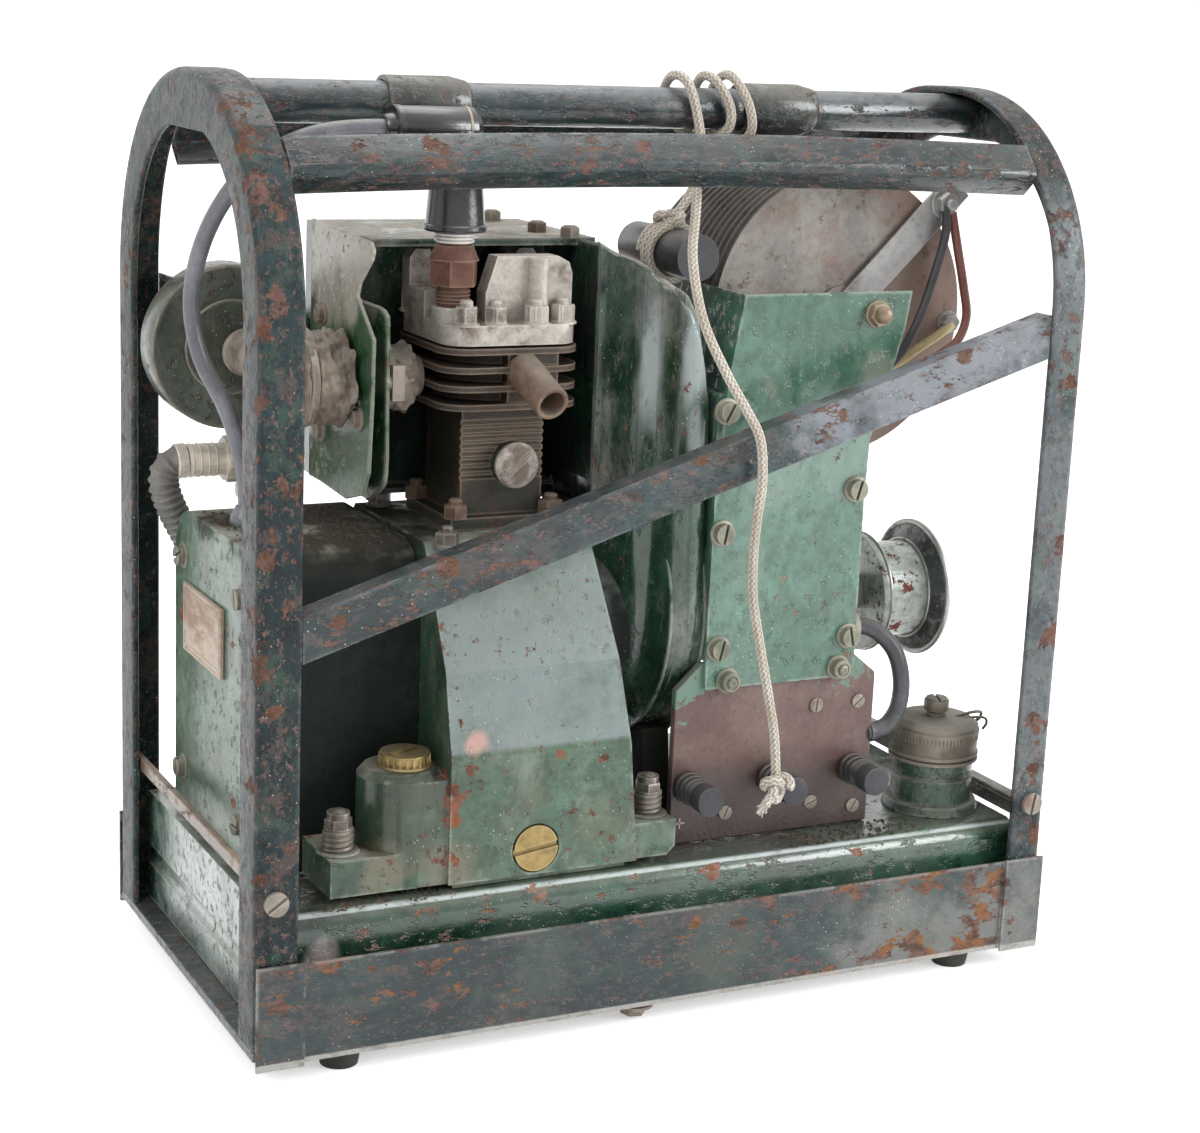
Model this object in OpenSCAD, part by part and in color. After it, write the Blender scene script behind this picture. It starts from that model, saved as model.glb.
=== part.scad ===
// Portable battery charging set: a small two-stroke engine and its dynamo on a
// flat fuel tank, inside an open cage of bent angle iron.
// X runs along the set, Y from the front to the back, Z up. The feet stand on Z = 0.

/* [Carrying cage] */
// Length over the two end hoops
cage_l = 360; // [340:1:440]
// Width over the hoop legs
cage_w = 188; // [180:1:230]
// Height from the ends of the hoop legs to the top of the hoops
cage_h = 362; // [360:1:440]
// Radius of the hoop shoulders
arch_r = 87; // [60:1:92]
// Thickness of the angle iron
iron_t = 3; // [2:0.5:4]
// Flange of the angle iron that faces the ends
flange_w = 21; // [16:0.5:26]
// Flange of the angle iron that runs inward
rim_w = 17; // [14:0.5:22]
// Height of the feet
foot_h = 15; // [10:1:25]
// Height of the front and rear skirts
skirt_h = 40; // [30:1:48]
// Diameter of the handle tube
tube_d = 17; // [14:0.5:17]

/* [Fuel tank] */
// Length of the tank
tank_l = 342; // [300:1:345]
// Width of the tank
tank_w = 170; // [150:1:172]
// Height of the tank
tank_h = 49; // [40:1:49]
// Diameter of the filler neck
neck_d = 35.6; // [28:0.2:42]

/* [Engine] */
// Distance from the cage middle to the cylinder axis, to the left
cyl_x = 55.5; // [50:0.5:60]
// Distance from the cage middle plane to the crankshaft axis, to the front
crank_y = 9; // [6:0.5:12]
// Height of the crankshaft above the tank top
crank_h = 89; // [84:1:92]
// Width of the square cylinder fins
fin_w = 60; // [54:1:64]
// Number of large cylinder fins
fin_n = 4; // [3:1:4]
// Pitch of the large cylinder fins
fin_pitch = 7.4; // [6.5:0.1:7.6]

/* [Dynamo and rectifier] */
// Depth of the dynamo housing, front to back
dyn_w = 105; // [90:1:112]
// Diameter of the rectifier plates
plate_d = 120; // [90:1:122]
// Number of rectifier plates
plate_n = 14; // [10:1:15]
// Diameter of the starter pulley rim
pulley_d = 61; // [50:1:66]

/* [Hidden] */
$fn = 48;
gap = 0.3;
hl = cage_l / 2;
hw = cage_w / 2;
z0 = foot_h;
top_z = z0 + cage_h;
arch_z = top_z - arch_r;
arch_y = hw - arch_r;
tube_z = top_z - iron_t - 0.5 - tube_d / 2;
tank_z = z0;
tank_top = tank_z + tank_h;
eng_z = tank_top + 3;
crank_z = tank_top + crank_h;
cx = -cyl_x;
cy = -crank_y;
deck_z = crank_z + 45;
fin_z = deck_z + 49;
head_z = fin_z + 26;
plug_x = cx - 20.7;
plug_y = cy - 12;
drum_x = 7;
drum_t = 16.4;
box_x = drum_x + drum_t + gap;
box_y = -64;
board_z = tank_top + 0.3;
rect_x = 93;
rect_z = tank_top + 219;
neck_x = 148;
neck_y = -52;
bar_h = 10;
rail_bow = 3;
ledge_lap = 13;
rail_l = cage_l - 2 * rim_w - 2 * gap;
rail_r = (rail_l * rail_l / 4 + rail_bow * rail_bow) / (2 * rail_bow);

// ---- small helpers ----

// Cylinder lying along X, from x = a to x = b
module bar_x(a, b, y, z, d) {
    translate([a, y, z]) rotate([0, 90, 0]) cylinder(h = b - a, d = d);
}

// Cylinder lying along Y, from y = a to y = b
module bar_y(a, b, x, z, d) {
    translate([x, a, z]) rotate([-90, 0, 0]) cylinder(h = b - a, d = d);
}

// Flat shape drawn in Y and Z, made t thick along X from x = a
module slab_x(a, t) {
    translate([a, 0, 0]) rotate([90, 0, 90]) linear_extrude(height = t) children();
}

// Flat shape drawn in X and Z, made t thick along Y from y = a
module slab_y(a, t) {
    translate([0, a + t, 0]) rotate([90, 0, 0]) linear_extrude(height = t) children();
}

// Rectangle with rounded corners, from one corner to the other
module round_rect(x0, y0, x1, y1, r) {
    union() {
        translate([x0 + r, y0]) square([x1 - x0 - 2 * r, y1 - y0]);
        translate([x0, y0 + r]) square([x1 - x0, y1 - y0 - 2 * r]);
        for (x = [x0 + r, x1 - r], y = [y0 + r, y1 - r]) translate([x, y]) circle(r = r);
    }
}

function unit(v) = v / norm(v);
function tangent(p, i) = unit(p[min(i + 1, len(p) - 1)] - p[max(i - 1, 0)]);
function square_to(n, t) = unit(n - (n * t) * t);
function curve(a, b, c, d, t) = 0.5 * (2 * b + (c - a) * t
    + (2 * a - 5 * b + 4 * c - d) * t * t + (3 * b - a - 3 * c + d) * t * t * t);
function smooth(p, s) = concat([for (i = [0 : len(p) - 2], k = [0 : s - 1])
    curve(p[max(i - 1, 0)], p[i], p[i + 1], p[min(i + 2, len(p) - 1)], k / s)],
    [p[len(p) - 1]]);

// Tube of radius r swept along the points p
module swept(p, r, sides) {
    n0 = square_to([0.13, 0.21, 0.97], tangent(p, 0));
    ns = [for (i = 0, n = n0; i < len(p); i = i + 1,
        n = i < len(p) ? square_to(n, tangent(p, i)) : n) n];
    pts = [for (i = [0 : len(p) - 1], k = [0 : sides - 1])
        let (t = tangent(p, i), n = ns[i], b = cross(t, n), a = 360 * k / sides)
        p[i] + r * (cos(a) * n + sin(a) * b)];
    m = len(p) - 1;
    side = [for (i = [0 : m - 1], k = [0 : sides - 1])
        [i * sides + k, i * sides + (k + 1) % sides,
        (i + 1) * sides + (k + 1) % sides, (i + 1) * sides + k]];
    cap0 = [[for (k = [0 : sides - 1]) sides - 1 - k]];
    cap1 = [[for (k = [0 : sides - 1]) m * sides + k]];
    polyhedron(points = pts, faces = concat(cap0, side, cap1), convexity = 8);
}

// ---- carrying cage ----

// Outline of a hoop, drawn in Y and Z, drawn in by d
module arch(d) {
    for (s = [-1, 1]) translate([s * arch_y, arch_z]) circle(r = arch_r - d, $fn = 96);
    translate([-arch_y, arch_z]) square([2 * arch_y, arch_r - d]);
    translate([-hw + d, z0]) square([cage_w - 2 * d, arch_z - z0]);
}

// End hoop with its flat flange on the side x = 0, rim running to +X
module hoop() {
    union() {
        difference() {
            slab_x(0, iron_t) arch(0.6);
            slab_x(-1, iron_t + 2) intersection() {
                arch(flange_w);
                translate([-hw, z0 - 1]) square([cage_w, top_z - 23 - z0]);
            }
            slab_x(-1, iron_t + 2) translate([-hw + flange_w, z0 - 1]) square([cage_w - 2 * flange_w, 20]);
            slab_x(-1, iron_t + 2) translate([0, top_z - 23]) circle(d = 6);
        }
        difference() {
            slab_x(1.4, rim_w - 1.4) arch(0);
            slab_x(1, rim_w + 1) arch(iron_t);
            translate([-1, -hw + iron_t, z0 - 1]) cube([rim_w + 2, cage_w - 2 * iron_t, 30]);
        }
    }
}

module left_hoop() {
    color("#2f4043") translate([-hl, 0, 0]) hoop();
}

module right_hoop() {
    color("#2f4043") translate([hl, 0, 0]) mirror([1, 0, 0]) hoop();
}

// Section of a shoulder rail, its corner rounded
module rail_shape() {
    difference() {
        union() {
            translate([-1.5, -6]) square([iron_t, 16]);
            translate([-1.5, -6]) square([13, iron_t]);
        }
        difference() {
            translate([-2.5, -7]) square([5, 5]);
            translate([2.5, -2]) circle(r = 4);
        }
    }
}

// Angle along the shoulder of the hoops, corner outward, bowed up a little
module shoulder_rail() {
    a = 42;
    ry = arch_y + (arch_r - 1.5) * cos(a);
    rz = arch_z + (arch_r - 1.5) * sin(a);
    turn = 2 * asin(rail_l / 2 / rail_r) + 0.2;
    intersection() {
        translate([0, 0, rz - rail_r + rail_bow]) rotate([90, 0, 0]) rotate([0, 0, 90 - turn / 2])
            rotate_extrude(angle = turn, $fn = 1800)
            translate([rail_r, ry]) rotate(-90 - a) rail_shape();
        translate([-rail_l / 2, -hw, rz - 20]) cube([rail_l, hw, 50]);
    }
}

module front_shoulder_rail() {
    color("#34474a") shoulder_rail();
}

module rear_shoulder_rail() {
    color("#34474a") rotate([0, 0, 180]) shoulder_rail();
}

module handle_tube() {
    color("#2a3a3e") bar_x(-hl + iron_t + gap, hl - iron_t - gap, 0, tube_z, tube_d);
}

// Sleeves that stop the hand sliding along the tube
module handle_sleeves() {
    color("#3a4646") for (x = [-100, 60]) translate([x, 0, tube_z]) rotate([0, 90, 0]) difference() {
        union() {
            cylinder(h = 28, r = tube_d / 2 + 2.4);
            translate([0, 0, 28]) cylinder(h = 7, r1 = tube_d / 2 + 2.4, r2 = tube_d / 2 + 0.8);
        }
        translate([0, 0, -1]) cylinder(h = 40, r = tube_d / 2 + 0.2);
    }
}

// Diagonal angle from the foot of one leg to the shoulder of the other
module brace() {
    x = hl - rim_w - gap;
    za = z0 + 160;
    zb = z0 + 264;
    h = 9.25;
    translate([0, -hw + 1.2, 0]) union() {
        slab_y(0, iron_t) polygon([[-x, za - h], [x, zb - h], [x, zb + h], [-x, za + h]]);
        slab_y(0, 11.5) polygon([[-x, za + h - 3], [x, zb + h - 3], [x, zb + h], [-x, za + h]]);
    }
}

module front_brace() {
    color("#34474a") brace();
}

module rear_brace() {
    color("#34474a") rotate([0, 0, 180]) brace();
}

// Pressed skirt between the legs, its ends lapping over them
module skirt() {
    x = hl - rim_w - gap;
    zb = z0 - 6;
    union() {
        translate([-x, -hw, zb]) cube([2 * x, 1.5, skirt_h]);
        translate([-x, -hw, zb]) cube([2 * x, 14, 1.5]);
        for (s = [-1, 1]) {
            translate([s > 0 ? x - 2 : -x, -hw - 1.8, zb]) cube([2, 3, skirt_h]);
            translate([s > 0 ? x - 2 : -hl, -hw - 1.8, zb - 1]) cube([rim_w + 2 + gap, 1.5, skirt_h + 2]);
        }
    }
}

module front_skirt() {
    color("#3b5358") skirt();
}

module rear_skirt() {
    color("#3b5358") rotate([0, 0, 180]) skirt();
}

// Angle across the end of the cage just above the tank
module cross_bar() {
    y = hw - iron_t - gap;
    translate([-hl + iron_t + gap, -y, tank_top + gap]) union() {
        cube([3, 2 * y, bar_h]);
        translate([0, 0, bar_h - 2.5]) cube([6.5, 2 * y, 2.5]);
    }
}

module left_cross_bar() {
    color("#8d6b57") cross_bar();
}

module right_cross_bar() {
    color("#4c4a44") mirror([1, 0, 0]) cross_bar();
}

// Strips under the hoop legs that carry the ends of the tank
module end_ledges() {
    w = hl - tank_l / 2 + ledge_lap;
    color("#54513f") for (s = [-1, 1]) translate([s > 0 ? hl - w : -hl, -hw + 2, z0 - 4.2])
        cube([w, cage_w - 4, 3.9]);
}

module rubber_feet() {
    color("#26241f") for (x = [-141, 145], y = [-80, 80]) translate([x, y, 0])
        cylinder(h = z0 - 6.3, d1 = 15, d2 = 18);
}

// ---- fuel tank ----

module fuel_tank() {
    color("#2f5a41") difference() {
        slab_x(-tank_l / 2, tank_l) round_rect(-tank_w / 2, tank_z, tank_w / 2, tank_top, 7);
        for (s = [-1, 1]) translate([s * (tank_l / 2 + 4), 0, tank_z + 20]) rotate([90, 0, 0])
            cylinder(h = tank_w + 10, r = 6, center = true);
    }
}

module filler_neck() {
    color("#2f5a41") translate([neck_x, neck_y, tank_top + 0.2]) union() {
        cylinder(h = 4, d1 = 43, d2 = 40);
        cylinder(h = 15, d = neck_d);
        cylinder(h = 17.5, d = neck_d - 2.4);
        translate([0, 0, 17.5]) cylinder(h = 7, d = neck_d);
    }
}

module filler_cap() {
    color("#8a8266") translate([neck_x, neck_y, tank_top + 24.9]) union() {
        cylinder(h = 13.5, d = neck_d + 2.6);
        translate([0, 0, 13.5]) cylinder(h = 2.5, d1 = neck_d + 2.6, d2 = neck_d - 4);
        cylinder(h = 21, d = 7);
        translate([0, 0, 19]) cylinder(h = 4.5, d = 11);
    }
}

// ---- engine ----

// Side outline of the crankcase, front to the left
module case_side() {
    polygon([[-80, eng_z], [-80, eng_z + 51], [-72, eng_z + 84], [-52, deck_z - 8],
        [-46, deck_z], [30, deck_z], [44, crank_z + 30], [52, crank_z], [52, eng_z]]);
}

// Front outline of the crankcase
module case_front() {
    polygon([[cx - 41, eng_z], [cx - 41, deck_z], [cx + 30, deck_z], [cx + 42, eng_z]]);
}

module crankcase() {
    color("#3f6b52") difference() {
        union() {
            intersection() {
                slab_x(cx - 60, 120) case_side();
                slab_y(-90, 150) case_front();
            }
            translate([cx - 38, -77, tank_top + gap]) cube([76, 126, 4]);
            translate([-145, -78, eng_z]) cube([60, 32, 15]);
            translate([-20, -78, eng_z]) difference() {
                cube([25, 31, 15]);
                translate([25, -1, 0]) rotate([0, 45, 0]) cube([5, 40, 5], center = true);
                translate([25, 15, 0]) rotate([0, 45, 0]) cube([5, 40, 5], center = true);
            }
            translate([-111.5, -61.9, eng_z]) cylinder(h = 43, r = 16.5);
            translate([-111.5, -61.9, eng_z + 43]) cylinder(h = 3, r1 = 16.5, r2 = 14);
            translate([-111, -78, eng_z]) cube([22, 32, 43]);
            bar_x(-30, drum_x - gap, cy, crank_z, 70);
        }
        bar_y(-81, -77.1, -59, eng_z + 11, 20.6);
    }
}

// Oil filler cap on the boss and slotted plug in the front of the crankcase
module case_plugs() {
    color("#a08a50") union() {
        translate([-109, -62, eng_z + 46.2]) cylinder(h = 5, d = 19.8);
        difference() {
            bar_y(-80.4, -77.3, -59, eng_z + 11, 19);
            translate([-59, -80.5, eng_z + 11]) rotate([0, -8, 0]) cube([24, 3.2, 2.2], center = true);
        }
    }
}

module mount_studs() {
    color("#8b8579") for (p = [[-138, -67], [-3, -67]]) translate([p[0], p[1], tank_top + 0.2]) union() {
        cylinder(h = 2.5, d = 9);
        translate([0, 0, 18.2]) cylinder(h = 10, d = 11);
        translate([0, 0, 28.2]) cylinder(h = 6, d = 9);
    }
}

module dynamo_housing() {
    color("#4f7d63") slab_x(-165, 68.2) difference() {
        round_rect(60 - dyn_w, tank_top - 30, 60, tank_top + 132, 20);
        translate([-100, tank_top - 40]) square([200, 43]);
    }
}

module name_plate() {
    color("#a08c78") slab_x(-166.5, 1.2) translate([-7, tank_top + 73]) square([50, 29]);
}

module cylinder_base() {
    difference() {
        translate([cx - 18, cy - 18, deck_z + 0.3]) cube([36, 36, 50]);
        for (k = [0 : 7]) translate([cx - 18, cy - 19, deck_z + 20 + 3.2 * k]) {
            translate([-1, 0, 0]) cube([38, 2.2, 1.4]);
            translate([-1, 35.8, 0]) cube([38, 2.2, 1.4]);
        }
    }
}

module cylinder_fin(z, w) {
    translate([cx, cy, z]) linear_extrude(height = 2.6) difference() {
        round_rect(-w / 2, -w / 2, w / 2, w / 2, 12);
    }
}

module finned_cylinder() {
    color("#5d4a3c") union() {
        cylinder_base();
        translate([cx, cy, fin_z - 1]) cylinder(h = 27, d = 44);
        for (k = [0 : fin_n - 1]) cylinder_fin(fin_z + 0.6 + fin_pitch * k, fin_w);
        translate([cx - 3, cy - 28, fin_z + 1]) cube([22, 20, 24]);
        bar_y(cy - 23, cy - 15, cx + 4, deck_z + 26, 18);
        translate([cx - 24, cy - 24, deck_z + 0.3]) cube([48, 48, 5]);
    }
}

module cylinder_head() {
    color("#8d8878") translate([cx, cy, head_z + 0.3]) union() {
        linear_extrude(height = 8) round_rect(-28.5, -28.5, 28.5, 28.5, 10);
        slab_y(-18, 9) polygon([[-9.2, 7], [-9.2, 19.5], [-4.5, 34], [22, 34], [27, 31.5], [28.5, 27],
            [28.5, 7]]);
        translate([13, -18.5, 7]) cylinder(h = 26.5, d = 9);
        for (s = [-1, 1]) slab_y(15, 8) polygon([[s * 28.5, 7], [s * 28.5, 30], [s * 26, 33.5],
            [s * 20, 33.5], [s * 10, 18], [s * 10, 7]]);
        translate([-28.5, -1.2, 7]) cube([6, 18, 12]);
        for (p = [[-20, -24], [-8, -25], [10, -25], [23, -22], [-24, 22], [24, 22]])
            translate([p[0], p[1], 7]) cylinder(h = 8, d = 9, $fn = 6);
        translate([plug_x - cx, plug_y - cy, 7]) cylinder(h = 7, d = 17);
    }
}

module exhaust_stub() {
    color("#7a6248") translate([cx + 8, cy - 32.4, fin_z + 15]) rotate([82, 0, 14]) difference() {
        cylinder(h = 24, d = 14);
        translate([0, 0, 4]) cylinder(h = 30, d = 10.6);
    }
}

module spark_plug() {
    color("#6b4136") translate([plug_x, plug_y, head_z + 14.6]) union() {
        cylinder(h = 8, d = 13);
        translate([0, 0, 8]) cylinder(h = 10, d = 20, $fn = 6);
        translate([0, 0, 18]) cylinder(h = 6, d1 = 20, d2 = 15);
        translate([0, 0, 24]) cylinder(h = 5, d = 11);
    }
}

module plug_cap() {
    color("#1d1c1f") translate([plug_x, plug_y, head_z + 44]) union() {
        cylinder(h = 39.3, d1 = 24.2, d2 = 18);
        bar_x(-27.3, 5.5, 0, 39.5, 17.4);
        translate([5.4, 0, 39.5]) rotate([0, 90, 0]) cylinder(h = 3.2, d1 = 17.3, d2 = 11);
    }
}

lead_z = head_z + 83.5;
lead_path = [[plug_x - 27.6, plug_y, lead_z], [-112, -21, lead_z], [-126, -20.5, 355.5], [-140, -19, 352],
    [-154, -12, 343], [-163, -3, 330], [-168, 11, 312], [-170, 21, 292], [-169, 23, 275],
    [-166, 19, 260], [-160, 13, 247], [-155, 10, 232], [-151, 11, 216], [-150, 12, 205],
    [-150, 12, tank_top + 132.4]];

module plug_lead() {
    color("#35363b") swept(smooth(lead_path, 2), 3.6, 10);
}

module carburettor() {
    color("#7d776a") union() {
        for (k = [0 : 3]) bar_x(-136 + 5 * k, -133.2 + 5 * k, cy, fin_z + 11, 36 - 1.4 * k);
        bar_x(-152, -117.6, cy, fin_z + 11, 27);
        bar_x(-120, cx - 30.4, cy, fin_z + 11, 16);
        bar_x(-101.5, -92, cy, fin_z + 11, 25);
        translate([-102.5, cy - 16, fin_z + 3.6]) cube([5, 32, 14]);
        bar_y(cy + 1, 44, -140.6, fin_z + 14, 18);
    }
}

module air_cleaner() {
    color("#54604c") translate([-146, 44.3, fin_z + 16]) rotate([-90, 0, 0]) difference() {
        cylinder(h = 16, r = 33.8);
        translate([0, 0, -1]) difference() {
            cylinder(h = 2.5, r = 32.2);
            cylinder(h = 5, r = 19);
        }
    }
}

// Bent sheet on the inlet side: a tray below, a flap above and a second sheet behind
module heat_shield() {
    color("#3d7c4c") difference() {
        union() {
            slab_x(-116, 1.6) polygon([[34, crank_z + 58], [34, crank_z + 163.5], [-32, crank_z + 161],
                [-35.3, crank_z + 158], [-33.6, crank_z + 154], [-21, crank_z + 143.5],
                [-18.7, crank_z + 138.6], [-37, crank_z + 124], [-36.5, crank_z + 100],
                [-34, crank_z + 71], [-28, crank_z + 61], [-10, crank_z + 56]]);
            slab_x(-108, 1.6) polygon([[34, crank_z + 56], [34, crank_z + 134], [-23.5, crank_z + 133.6],
                [-28.5, crank_z + 132], [-30.2, crank_z + 128], [-31.4, crank_z + 70.3],
                [-25.3, crank_z + 62.3], [-12, crank_z + 56]]);
            translate([-116, 32.4, crank_z + 60]) cube([9.6, 1.6, 72]);
            translate([-116, 0, crank_z + 57.4]) cube([9.6, 34, 1.6]);
        }
        bar_x(-120, -100, cy, fin_z + 11, 16.6);
    }
}

// ---- fan cowl ----

// Side outline of the duct above the fan drum, front to the left
module cowl_side() {
    union() {
        polygon([[-59, crank_z + 8], [-60.6, crank_z + 26], [-58, crank_z + 56], [-58, crank_z + 145],
            [-44, crank_z + 145], [-44, crank_z + 159], [74, crank_z + 159], [74, crank_z + 60],
            [50, crank_z + 8]]);
        translate([-44, crank_z + 145]) circle(r = 14);
    }
}

// Front outline of the duct, its top falling to the right
module cowl_front() {
    polygon([[drum_x, crank_z + 8], [drum_x, crank_z + 36.5], [0, crank_z + 40], [-9, crank_z + 48],
        [-14, crank_z + 61], [-14, crank_z + 159], [-11, crank_z + 155.5], [-2, crank_z + 151],
        [4.5, crank_z + 146.5], [10, crank_z + 141], [14.5, crank_z + 133], [19, crank_z + 112],
        [22, crank_z + 87], [drum_x + drum_t, crank_z + 62], [drum_x + drum_t, crank_z + 8]]);
}

// Plan of the duct with the two folds in its front wall
module cowl_plan() {
    union() {
        polygon([[-14, -24], [-12, -26.5], [-8, -27.5], [-4, -31], [7, -42], [8, -50],
            [drum_x + drum_t, -50], [drum_x + drum_t, 74], [-14, 74]]);
        translate([1.5, -38]) circle(r = 6.5);
        translate([13.5, -53]) circle(r = 6.8);
        translate([16.4, -52.5]) circle(r = 7);
    }
}

module fan_cowl() {
    color("#2c5a3e") union() {
        slab_x(drum_x, drum_t) translate([cy + 9, crank_z + 8]) circle(r = 61, $fn = 96);
        intersection() {
            slab_x(-20, 60) cowl_side();
            slab_y(-70, 150) cowl_front();
            translate([0, 0, crank_z]) linear_extrude(height = 170) cowl_plan();
        }
        difference() {
            translate([-104, 18, deck_z + 6]) cube([96, 56, crank_z + 156 - deck_z - 6]);
            translate([-102, 17, deck_z + 8]) cube([90, 12, crank_z + 154 - deck_z - 8]);
        }
        translate([-104, -4, crank_z + 156]) cube([98, 78, 3]);
    }
}

hose_path = [[-160.9, 62, 213], [-163.2, 62, 213], [-165.7, 62, 212.2], [-168.5, 62.3, 208.4],
    [-169.8, 63, 201.5], [-168.6, 65, 192], [-165, 68, 180], [-161, 71, 163], [-158, 72, 140],
    [-156, 72, 100], [-156, 72, tank_top + gap]];

module breather_hose() {
    color("#4a4842") swept(smooth(hose_path, 2), 6, 10);
}

// Ferrule on the end of the hose and the union it screws into
module hose_union() {
    color("#9a8a5a") union() {
        bar_x(-160, -143, 62, 213, 14);
        bar_x(-144, -118, 62, 213, 18);
        translate([-131, 62, 196.4]) cylinder(h = 12, d = 14);
    }
}

// ---- control box and rectifier ----

// Outline of the front plate, wide at the top to carry the rectifier
module box_front() {
    polygon([[23.4, tank_top + 67.5], [22.9, tank_top + 98], [23.3, tank_top + 147.5],
        [27, tank_top + 197.7], [32.7, tank_top + 231.2], [112, tank_top + 231.5],
        [109.5, tank_top + 215.3], [104.5, tank_top + 197.8], [95.9, tank_top + 169.5],
        [95, tank_top + 144], [95.4, tank_top + 70], [93, tank_top + 67.5]]);
}

module control_box() {
    color("#3f7a5a") union() {
        slab_y(box_y, 1.6) box_front();
        intersection() {
            slab_y(box_y, 74) polygon([[27.3, tank_top + 190], [28.4, tank_top + 190],
                [33.8, tank_top + 231.2], [32.7, tank_top + 231.2]]);
            slab_x(20, 30) polygon([[-66, tank_top + 191], [-57.5, tank_top + 191],
                [-35, tank_top + 193.4], [-23, tank_top + 213.7], [9, tank_top + 213.7],
                [9, tank_top + 231.2], [-66, tank_top + 231.2]]);
        }
        translate([box_x, box_y + 1.6, tank_top + 79]) cube([93 - box_x, 22.4, 112]);
        translate([box_x, box_y + 1.6, tank_top + 79]) cube([93 - box_x, 71, 77]);
        bar_x(90, 100, cy, crank_z, 36);
    }
}

module rectifier_plates() {
    color("#7d7a72") union() {
        for (k = [0 : plate_n - 1]) bar_y(-38 + 5 * k, -36.4 + 5 * k, rect_x, rect_z, plate_d);
        bar_y(-39.5, -36 + 5 * plate_n, rect_x, rect_z, 24);
        bar_y(box_y + 1.9, -36, rect_x, rect_z, 10);
    }
}

module rectifier_strap() {
    color("#7b7c7a") translate([rect_x, -41.4, rect_z]) rotate([0, -45, 0]) difference() {
        translate([-9, 0, -7]) cube([86, 1.6, 14]);
        rotate([-90, 0, 0]) translate([0, 0, -1]) cylinder(h = 4, d = 10.6);
    }
}

wire_paths = [
    [[138, -44.4, 331], [138, -47, 318], [133, -48, 300], [127, -48, 282], [119, -48, 267],
        [109, -48, 259.6], [97, -48, 258], [88, -48, 257]],
    [[142.4, -44.2, 326], [145, -46, 312], [149, -47, 295], [151, -48, 282], [146, -50, 272],
        [136, -52, 266.5], [124, -54, 260], [110, -55, 257.4], [97, -55, 257], [88, -55, 257]],
    [[148.5, -41, 277.5], [141, -42, 273], [132, -42, 268], [122, -42, 262], [110, -42, 257.6],
        [98, -42, 257], [88, -42, 257]]];

module rectifier_wires() {
    color("#2b2b2d") for (p = wire_paths) swept(smooth(p, 2), 1.9, 8);
}

module terminal_board() {
    color("#5a4038") slab_y(-62.1, 4) polygon([[10.8, board_z], [10.8, board_z + 67],
        [22.4, board_z + 78], [95.4, board_z + 77], [107.8, board_z + 67], [107.8, board_z]]);
}

module terminals() {
    color("#3a3a3e") for (x = [18, 58, 98]) {
        bar_y(-75, -62.4, x, tank_top + 25.5, 11.2);
        for (k = [0 : 2]) bar_y(-66 - 3.4 * k, -63.8 - 3.4 * k, x, tank_top + 25.5, 13.4 - 0.5 * k);
        bar_y(-84, -74.8, x, tank_top + 25.5, 12);
    }
}

// ---- starter ----

module starter_pulley() {
    color("#7c8077") translate([0, cy, crank_z]) rotate([0, 90, 0]) union() {
        translate([0, 0, 132]) cylinder(h = 24, d = 43);
        translate([0, 0, 154]) cylinder(h = 6, d1 = 45, d2 = pulley_d);
        translate([0, 0, 128]) cylinder(h = 4, d = pulley_d - 8);
        translate([0, 0, 100.3]) cylinder(h = 28, d = 16);
    }
}

cable_path = [[93.7, -50, 149], [98, -50.4, 149.6], [104.5, -52.4, 150], [113, -56, 147], [121, -60, 138],
    [124.5, -62, 124], [124, -62, 110], [120, -60.5, 100], [112.5, -60, 97.5]];

module board_cable() {
    color("#26272b") swept(smooth(cable_path, 2), 3.8, 10);
}

rope_path = [[20, -20, 317.8], [21, -20, 321], [28, -19, 329], [36, -15, 342], [36, -12, 358],
    [32, -8.5, 375], [30, 2, 378.3], [31, 11.8, 370], [36, 10.4, 358], [44, 0, 352],
    [50, -10.4, 357], [50, -12.4, 366], [46, -7.5, 376], [44, 2, 378.3], [46, 11.8, 370],
    [52, 9, 355], [58, -4, 351], [60, -13.4, 357], [58, -13.4, 368], [55, -5, 378],
    [54, 5, 377.8], [52, 12.6, 367], [46, 8.6, 354], [36, -4, 350.6], [26, -24, 350],
    [18, -45, 338], [10, -60, 326], [1, -76, 311], [-2, -92, 290], [6, -98, 270],
    [16, -98, 255], [23, -98, 243], [25, -98, 226], [24, -97, 210], [24, -96, 194],
    [25, -96, 178], [30, -96, 156], [36, -95, 134], [40, -94, 118], [43, -92, 100]];

module starter_rope() {
    color("#cfc4aa") swept(smooth(rope_path, 2), 2.4, 8);
}

module rope_toggle() {
    color("#232126") bar_y(-46, 8, 20, 308, 19);
}

left_hoop();
right_hoop();
front_shoulder_rail();
rear_shoulder_rail();
handle_tube();
handle_sleeves();
front_brace();
rear_brace();
front_skirt();
rear_skirt();
left_cross_bar();
right_cross_bar();
end_ledges();
rubber_feet();
fuel_tank();
filler_neck();
filler_cap();
crankcase();
case_plugs();
mount_studs();
dynamo_housing();
name_plate();
finned_cylinder();  // cylinder
cylinder_head();
exhaust_stub();
spark_plug();
plug_cap();
plug_lead();
carburettor();
air_cleaner();
heat_shield();
fan_cowl();
breather_hose();
hose_union();
control_box();
rectifier_plates();
rectifier_strap();
rectifier_wires();
terminal_board();
terminals();
starter_pulley();
board_cable();
starter_rope();
rope_toggle();
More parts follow.
